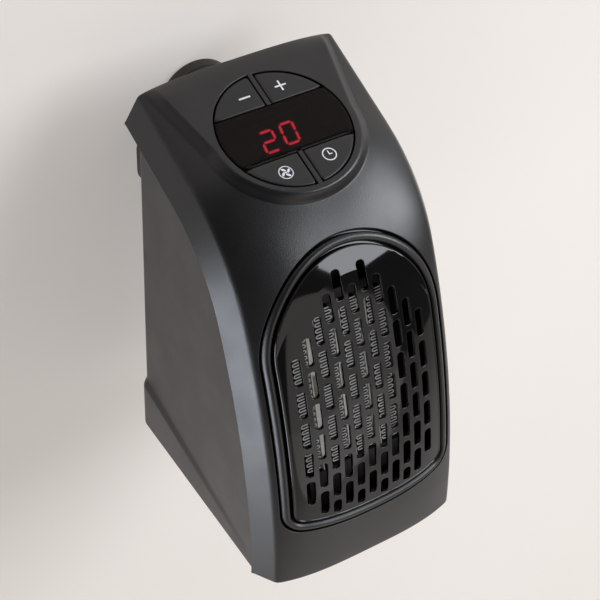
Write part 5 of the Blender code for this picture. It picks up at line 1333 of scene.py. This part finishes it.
digit_low = -0.0019
digit_spots = {"2": photo_spot(270.6, 138.0), "0": photo_spot(290.6, 129.2)}
for character, spot in digit_spots.items():
    bars = [segment(*ends[part]) for part in lit[character]]
    mark(f"digit_{character}", bars, [], spot, "heater", 0.0, digit_low, glow)
print("digits at", {k: [round(c / MM, 1) for c in s] for k, s in digit_spots.items()})

# %% [markdown]
# ## The rear housing
# The tub behind the seam is drawn flat too, as one long wall: s runs from the left seam
# round the back to the right seam, and z is the height. One function folds it round the
# corners. The skirt steps out low down, and its step runs downhill to the front.

# %% Rear housing wall
housing_back_y = -0.0290
housing_gap = 0.0005
clearance = 0.0003
back_half_widths = (0.0383, 0.0395)
front_half_width = seam_half_width - 0.0009
side_depth = 0.0600
flank_wall = 0.0021
back_corner = 0.0036
corner_y = housing_back_y - back_corner
skirt_proud, skirt_blend = 0.0015, 0.0042
skirt_back_z, skirt_front_z = -0.0890, -0.1070
bottom_round = 0.0016
flat_span = 0.0350
corner_span = back_corner * math.pi / 2
seam_points = [lifted(face_length * i / 200, -flank_drop) for i in range(200, -1, -1)]
seam_ys = [y for y, _ in seam_points]
seam_zs = [z for _, z in seam_points]


def side_share(y, z):
    """Share of the way from the back to the seam."""
    front = min(np.interp(z, seam_zs, seam_ys), housing_back_y - side_depth)
    return (y - housing_back_y) / (front - housing_back_y)


def side_half_width(y, z):
    t = side_share(y, z)
    fall = smoothstep((top_edge_z - z) / (top_edge_z - bottom_z))
    back = back_half_widths[0] + (back_half_widths[1] - back_half_widths[0]) * fall
    line = skirt_back_z + (skirt_front_z - skirt_back_z) * t
    skirt = skirt_proud * smoothstep((line - z) / skirt_blend) * max(1.0 - t, 0.0)
    return back + (front_half_width - back) * t + skirt


def back_reach(z):
    return side_half_width(corner_y, z) - back_corner


def tub(s, z, depth):
    """Fold the flat wall round the back and its two corners."""
    side = math.copysign(1.0, s)
    along = abs(s) - flat_span
    if along <= 0.0:
        return Vector((s / flat_span * back_reach(z), housing_back_y - depth, z))
    if along <= corner_span:
        angle = along / back_corner
        radius = back_corner - depth
        x = back_reach(z) + radius * math.sin(angle)
        return Vector((side * x, corner_y + radius * math.cos(angle), z))
    y = corner_y - (along - corner_span)
    return Vector((side * (side_half_width(y, z) - depth), y, z))


def on_back(outline):
    return [(x / back_reach(z) * flat_span, z) for x, z in outline]


def on_side(outline):
    return [(flat_span + corner_span + corner_y - y, z) for y, z in outline]


def seam_place(x, v):
    """Lower limit of the front skin at x and v, with the running gap."""
    angle = profile(v)[2]
    height = -flank_drop - clearance
    outer = settled(x, v, -height * math.sin(angle), height * math.cos(angle))
    rim_x = seam_half_width - flank_wall - clearance
    if abs(x) >= rim_x:
        return outer
    under = bent(min(abs(x), crease_half_width), v, wall + housing_gap)
    t = max(abs(x) - crease_half_width, 0.0) / (rim_x - crease_half_width)
    return under.lerp(outer, t)


def rim_height(s):
    z = top_edge_z
    for _ in range(3):
        place = tub(s, z, 0.0)
        low, high = 0.0, face_length
        for _ in range(24):
            v = (low + high) / 2
            if seam_place(place.x, v).y > place.y:
                low = v
            else:
                high = v
        z = seam_place(place.x, low).z
    return z


# %% [markdown]
# The wall's upper edge follows the front skin with a running gap. Lines along the
# corners, the skirt's step and the rounded bottom carry the shape.

# %% Wall pattern
front_s = on_side([(seam_place(front_half_width, face_length).y, 0.0)])[0][0]
start = flat_span + corner_span
half_rim = [flat_span * i / 24 for i in range(25)]
half_rim += [flat_span + corner_span * i / 8 for i in range(1, 9)]
half_rim += [start + (front_s - start) * i / 110 for i in range(1, 110)]
half_rim = [(s, rim_height(s)) for s in half_rim] + [(front_s, bottom_z)]
rim = [(-s, z) for s, z in reversed(half_rim[1:])] + half_rim
steps_s = [front_s * (i / 60 - 1.0) for i in range(121)]
lines = [(beside(rim, away)[1:-1], drop) for away, drop in rounding(0.0003)]
lines[-1] = (rim, 0.0003)
for away, drop in rounding(bottom_round):
    lines.append(([(s, bottom_z + away) for s in steps_s], drop))
for step in range(11):
    row = []
    for s in steps_s:
        y = tub(s, skirt_back_z, 0.0).y
        line = skirt_back_z + (skirt_front_z - skirt_back_z) * side_share(y, skirt_back_z)
        row.append((s, line - skirt_blend * step / 10))
    lines.append((row, 0.0))
for quarter in range(5):
    s = flat_span + corner_span * quarter / 4
    for side in (-1, 1):
        span = np.linspace(bottom_z + bottom_round + 0.0004, rim_height(s) - 0.0008, 60)
        lines.append(([(side * s, z) for z in span], 0.0))

# %% [markdown]
# The back wall has a field of intake slots, four deep screw wells, the round hole for
# the plug's hub, and the right side has the window of the power switch.

# %% Openings of the rear housing
def obround(x, z, half_length, half_height, grow):
    radius, straight = half_height + grow, half_length - half_height
    right = arc(radius, -math.pi / 2, math.pi / 2, 10, (x + straight, z))
    left = arc(radius, math.pi / 2, 3 * math.pi / 2, 10, (x - straight, z))
    return right + left


hub_radius = 0.0150
well_radius, post_radius, shank_bore = 0.0030, 0.0041, 0.0016
screw_nodes = [name for name in nodes if name.startswith("housing_screw")]
head_height = 0.0018

def middle_of(node):
    """Middle (x, z) of a solid, and its rearmost y."""
    low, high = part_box(node)
    return (low[0] + high[0]) / 2, (low[2] + high[2]) / 2, high[1]


well_places = []
for name in screw_nodes:
    x, z, back_y = middle_of(name)
    well_places.append((x, z, back_y - head_height))
slot_half_length, slot_half_height, slot_middle_x = 0.01225, 0.0016, 0.01475
top_slot_z, slot_pitch = -0.0300, 0.0066
openings = []
for row in range(10):
    for x in (-slot_middle_x, slot_middle_x):
        own = (x, top_slot_z - slot_pitch * row, slot_half_length, slot_half_height)
        openings.append((0.0004, on_back, lambda grow, own=own: obround(*own, grow)))
for x, z, _ in well_places:
    openings.append((0.0003, on_back, lambda grow, own=(x, z): disc(well_radius + grow, 40, own)))
openings.append((0.0005, on_back, lambda grow: disc(hub_radius + clearance + grow, 120)))
window = (-0.0500, -0.0360, 0.0065, 0.0095, 0.0004)
openings.append((0.0001, on_side, lambda grow: rounded_box(*window, grow)))
holes = []
for soft, fold, outline in openings:
    lines += rounded_off(lambda away: fold(outline(away)), soft)
    holes.append(fold(outline(0.0)))
grid = filling((-front_s, bottom_z), (front_s, top_edge_z), 0.0021, lines, 0.0010)
flat, drops, corners = pattern(grid, lines, holes, rim + [(-front_s, bottom_z)])


def top(i):
    return tub(flat[i].x, flat[i].y, drops[i])


def bottom(i):
    rest, z = bottom_z + wall / 2, flat[i].y
    return tub(flat[i].x, z if z > rest else rest + (z - rest) * 0.02, wall)


shape = skin(flat, corners, top, bottom)
print("rear pattern:", len(flat), "points", len(corners), "triangles")

# %% [markdown]
# A floor closes the tub below, and posts and a shelf stand inside it. The posts
# are turned: one section spun right round its axis.

# %% Floor, posts and shelf
plug_axes = Matrix(((1.0, 0.0, 0.0), (0.0, 0.0, -1.0), (0.0, 1.0, 0.0))).to_4x4()


def add_stack(shape, rings):
    """A closed body between rings of points, with a flat cap on both ends."""
    rows = [[shape.verts.new(p) for p in ring] for ring in rings]
    join_rows(shape, rows)
    shape.faces.new(list(reversed(rows[0])))
    shape.faces.new(rows[-1])


def add_turned(shape, points, axes, steps=48, closed=True):
    """Spin a section of (radius, height) points right round the axes' Z."""
    line = [shape.verts.new(axes @ Vector((r, 0.0, h))) for r, h in points]
    pairs = list(zip(line, line[1:])) + ([(line[-1], line[0])] if closed else [])
    edges = [shape.edges.new(pair) for pair in pairs]
    bmesh.ops.spin(
        shape,
        geom=line + edges,
        cent=axes.translation,
        axis=axes.col[2].to_3d(),
        angle=math.tau,
        steps=steps,
        use_merge=True,
    )


edge_points = [tub(s, bottom_z, bottom_round) for s in steps_s]
lip = [bent(crease_half_width * (1.0 - i / 20), face_length, wall + housing_gap) for i in range(41)]
floor_points = edge_points + [Vector((p.x, p.y, bottom_z)) for p in lip]
add_stack(shape, [[p + Vector((0.0, 0.0, lift)) for p in floor_points] for lift in (0.0, wall)])
inside_back = -housing_back_y + wall - 0.0004
for x, z, seat_y in well_places:
    section = [
        (well_radius, -housing_back_y + 0.0003),
        (well_radius, -seat_y),
        (shank_bore, -seat_y),
        (shank_bore, -seat_y + 0.0020),
        (post_radius, -seat_y + 0.0020),
        (post_radius, inside_back),
        (well_radius + 0.0002, inside_back),
        (well_radius + 0.0002, -housing_back_y + 0.0003),
    ]
    add_turned(shape, section, plug_axes @ Matrix.Translation((x, z, 0.0)))
add_block(shape, ((-0.0365, 0.0365), (-0.0580, -0.0440), (-0.0070, -0.0052)), 0.0003)
bmesh.ops.recalc_face_normals(shape, faces=shape.faces)
rear_tub = piece("rear_tub", shape, "satin_black_plastic", stands_for=["rear_housing"])
polish(rear_tub, flat, corners, drops, lambda s, z: tub(s, z, 0.0))

# %% [markdown]
# ## The plug
# A three-pin head whose hub passes through the back wall. Its face is a flat pattern
# again, with the pin holes, the fuse place and two screw seats cut out.

# %% Plug head
plug_depth, base_depth = 0.0274, 0.0050
plug_top_radius, plug_top_z, plug_bottom_z = 0.0145, 0.0210, -0.0240
plug_half_width, plug_wide_z, plug_corner = 0.0245, -0.0070, 0.0055
plug_edge = 0.0022


def plug_outline(inset):
    radius = plug_top_radius - inset
    centre_z = plug_top_z - plug_top_radius
    side, corner, low = plug_half_width - inset, plug_corner - inset, plug_bottom_z + inset
    right = arc(corner, -math.pi / 2, 0.0, 16, (side - corner, low + corner))
    lean = math.atan2(side - radius, centre_z - plug_wide_z)
    shoulder = (radius * math.cos(lean / 2), centre_z + radius * math.sin(lean / 2))
    start = (side, plug_wide_z - 0.002)
    bulge = (side * 0.985, (plug_wide_z + 0.004) * 0.985)
    for i in range(8):
        t = i / 8
        weights = ((1 - t) ** 2, 2 * t * (1 - t), t * t)
        right.append(blended(weights, (start, bulge, shoulder)))
    right += arc(radius, lean / 2, math.pi / 2, 24, (0.0, centre_z))
    return right + [(-x, z) for x, z in reversed(right[:-1])]


def at_depth(outline, depth):
    return [plug_axes @ Vector((x, z, depth)) for x, z in outline]


shell_low = base_depth + clearance
shell_wall, shell_ceiling = 0.0022, 0.0215
rings = [at_depth(plug_outline(shell_wall), depth) for depth in (shell_ceiling, shell_low)]
rings.append(at_depth(plug_outline(0.0), shell_low))
for step in range(7):
    angle = math.pi / 2 * step / 6
    inset = plug_edge * (1.0 - math.cos(angle))
    rings.append(at_depth(plug_outline(inset), plug_depth - plug_edge * (1.0 - math.sin(angle))))
shape = bmesh.new()
add_stack(shape, rings)
hub_end = -housing_back_y + wall + clearance
hub_bore, hub_root = 0.0032, plug_depth - 0.004
hub_section = [
    (hub_bore, hub_root),
    (hub_bore, hub_end),
    (hub_radius - 0.0004, hub_end),
    (hub_radius, hub_end - 0.0004),
    (hub_radius, hub_root),
]
add_turned(shape, hub_section, plug_axes, 96)
bmesh.ops.recalc_face_normals(shape, faces=shape.faces)
piece("plug_head", shape, "inner_plastic", "plug", ["plug_shell"])

# %% [markdown]
# The pin face is cut out with a running gap round the pins and the fuse carrier, whose
# places come from their solids.

# %% Pin face
pin_size = {
    "earth_pin": (0.0020, 0.0040),
    "live_pin": (0.003175, 0.0020),
    "neutral_pin": (0.003175, 0.0020),
}
seat_radius, seat_x, seat_z = 0.0030, 0.0098, 0.0042
boxes = [(*middle_of(name)[:2], *size) for name, size in pin_size.items()]
low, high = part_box("fuse_carrier")
boxes.append((0.0, (low[2] + high[2]) / 2, high[0], (high[2] - low[2]) / 2))
openings = []
for x, z, half_x, half_z in boxes:
    box = (x, z, half_x + clearance, half_z + clearance, 0.0003)
    openings.append(lambda away, box=box: rounded_box(*box, away))
for side in (-1, 1):
    centre = (side * seat_x, seat_z)
    openings.append(lambda away, centre=centre: disc(seat_radius + away, 40, centre))
lines = rounded_off(plug_outline, plug_edge / 2)
holes = []
for outline in openings:
    lines += rounded_off(outline, 0.0002)
    holes.append(outline(0.0))
grid = filling((-0.025, -0.024), (0.025, 0.021), 0.002, lines, 0.0010)
flat, drops, corners = pattern(grid, lines, holes, plug_outline(0.0))
shape = skin(
    flat,
    corners,
    lambda i: plug_axes @ Vector((flat[i].x, flat[i].y, drops[i])),
    lambda i: plug_axes @ Vector((flat[i].x, flat[i].y, base_depth)),
)
piece("plug_face", shape, "inner_plastic", "plug", ["plug_base"])

# %% [markdown]
# ## Screws
# A pan head with a cross recess. The head is a flat disc pattern with the cross drawn
# on it, and its points are pressed down inside the cross, and the shank is turned.

# %% Screws
head_radius, shank_radius, screw_length = 0.0027, 0.0013, 0.0080
arm_long, arm_half, recess_depth = 0.0015, 0.00032, 0.0012


def recess(grow):
    return cross(arm_long + grow, arm_half + grow)


lines = [(loop(disc(head_radius * share, 40)), 0.0) for share in (1.0, 0.97, 0.9, 0.8)]
for grow, drop in ((0.00006, 0.0), (0.0, 0.0010), (-0.0001, recess_depth)):
    lines.append((loop(recess(grow)), drop))
grid = filling((-head_radius,) * 2, (head_radius,) * 2, 0.00045, lines, 0.0002)
head_flat, head_drops, head_corners = pattern(grid, lines, [], disc(head_radius, 40))
in_cross = inside(np.array([(p.x, p.y) for p in head_flat]), recess(-0.00005))


def screw(node, place):
    """A screw whose head rests at a place, with its shank towards the front."""
    turn = Vector((0.0, -1.0, 0.0)).to_track_quat("Z", "Y").to_matrix().to_4x4()
    axes = Matrix.Translation(place) @ turn

    def top(i):
        p = head_flat[i]
        dome = head_height * (1.0 - 0.75 * (p.length / head_radius) ** 4)
        pressed = recess_depth if in_cross[i] else head_drops[i]
        return axes @ Vector((p.x, -p.y, -dome + pressed))

    def bottom(i):
        return axes @ Vector((head_flat[i].x, -head_flat[i].y, 0.0))

    shape = skin(head_flat, head_corners, top, bottom)
    thread = [(0.0, -0.0002), (shank_radius, -0.0002)]
    turns = 9
    for i in range(turns):
        h = 0.0008 + (screw_length - 0.0024) * i / turns
        thread += [(shank_radius - 0.00025, h), (shank_radius, h + 0.0003)]
    thread += [(shank_radius - 0.0004, screw_length - 0.0012), (0.0, screw_length)]
    add_turned(shape, thread, axes, 24, False)
    bmesh.ops.remove_doubles(shape, verts=shape.verts, dist=0.000001)
    bmesh.ops.recalc_face_normals(shape, faces=shape.faces)
    body = "plug" if node.startswith("plug") else "heater"
    piece("cross_" + node, shape, "steel", body, [node])


for node, (x, z, seat_y) in zip(screw_nodes, well_places):
    screw(node, (x, seat_y, z))
for node in ("plug_screw_left", "plug_screw_right"):
    x, z, back_y = middle_of(node)
    screw(node, (x, back_y - head_height, z))

# %% [markdown]
# ## Small parts
# The pins, the fuse and the works inside keep the solids' own shape. Each is a copy
# whose loose triangles are merged, whose flat areas are dissolved into single faces,
# and whose sharp edges are bevelled.

# %% Refined copies
def refined(node, name, body, width, sharp=50.0):
    source = nodes[node]
    shape = bmesh.new()
    shape.from_mesh(source.data)
    bmesh.ops.transform(shape, matrix=source.matrix_world, verts=shape.verts)
    bmesh.ops.remove_doubles(shape, verts=shape.verts, dist=0.000002)
    flat = math.radians(1.0)
    bmesh.ops.dissolve_limit(shape, angle_limit=flat, verts=shape.verts, edges=shape.edges)
    limit = math.radians(sharp)
    edges = [e for e in shape.edges if len(e.link_faces) == 2 and e.calc_face_angle() > limit]
    if width:
        bevel(shape, edges, width, True)
        bmesh.ops.remove_doubles(shape, verts=shape.verts, dist=0.0000005)
    bmesh.ops.recalc_face_normals(shape, faces=shape.faces)
    return piece(name, shape, slot_of(source), body, [node], smooth=sharp)


refined("earth_pin", "bright_earth_pin", "plug", 0.0004)
for name in ("live", "neutral"):
    refined(f"{name}_pin", f"bright_{name}_pin", "plug", 0.00025)
    refined(f"{name}_pin_sleeve", f"soft_{name}_sleeve", "plug", 0.00012)
refined("fuse_carrier", "soft_fuse_carrier", "plug", 0.0002)
refined("switch_body", "soft_switch_body", "heater", 0.0003)
rocker = refined("switch_rocker", "soft_rocker", "rocker", 0.0004)

# %% [markdown]
# What shows through the slots is copied in the same way. The table gives the bevel of
# each piece, and the leads and the rotor, which have round sides, get none.

# %% Works inside
works = {
    "plug": {"fuse": 0.0003, "supply_lead": 0.0, "swivel_retainer": 0.0003},
    "heater": {
        "core_frame": 0.0002,
        "fan_frame": 0.0003,
        "fan_bearing": 0.0002,
        "motor_stator": 0.0003,
        "thermal_cutout": 0.0003,
        "terminal_block": 0.0003,
        "control_board": 0.00015,
        "board_capacitor": 0.0004,
        "board_relay": 0.0003,
        "led_display": 0.0002,
    },
    "fan": {"fan_rotor": 0.0},
}
for side in ("left", "right"):
    works["plug"][f"retainer_screw_{side}"] = 0.00015
    works["heater"][f"board_screw_{side}"] = 0.00015
for node in nodes:
    if node.startswith(("lead_", "tact_switch_", "fan_screw_")):
        works["heater"][node] = 0.0 if node.startswith("lead_") else 0.00015
for body, widths in works.items():
    for node, width in widths.items():
        refined(node, f"soft_{node}", body, width)

# %% [markdown]
# ## Marks on the rocker
# A line and a ring stand on the two halves of the rocker, as on most power switches.
# Each is printed flat on its half, so its axes come from the largest faces there.

# %% Rocker marks
halves = sorted(rocker.data.polygons, key=lambda face: face.area * (face.normal.x > 0.7))[-2:]
halves.sort(key=lambda face: face.center.x)
for name, half in zip(("line", "ring"), halves):
    outward = half.normal.copy()
    upward = (Vector((0.0, 0.0, 1.0)) - outward * outward.z).normalized()
    sideways = upward.cross(outward)
    turn = Matrix((sideways, upward, outward)).transposed().to_4x4()
    axes = Matrix.Translation(half.center) @ turn
    bars = [bar(0.0, -0.0011, 0.0, 0.0011, 0.0005)] if name == "line" else []
    rings = [(disc(0.0008), disc(0.00125))] if name == "ring" else []
    mark(f"rocker_{name}", bars, rings, (0.0, 0.0), "rocker", axes=axes)
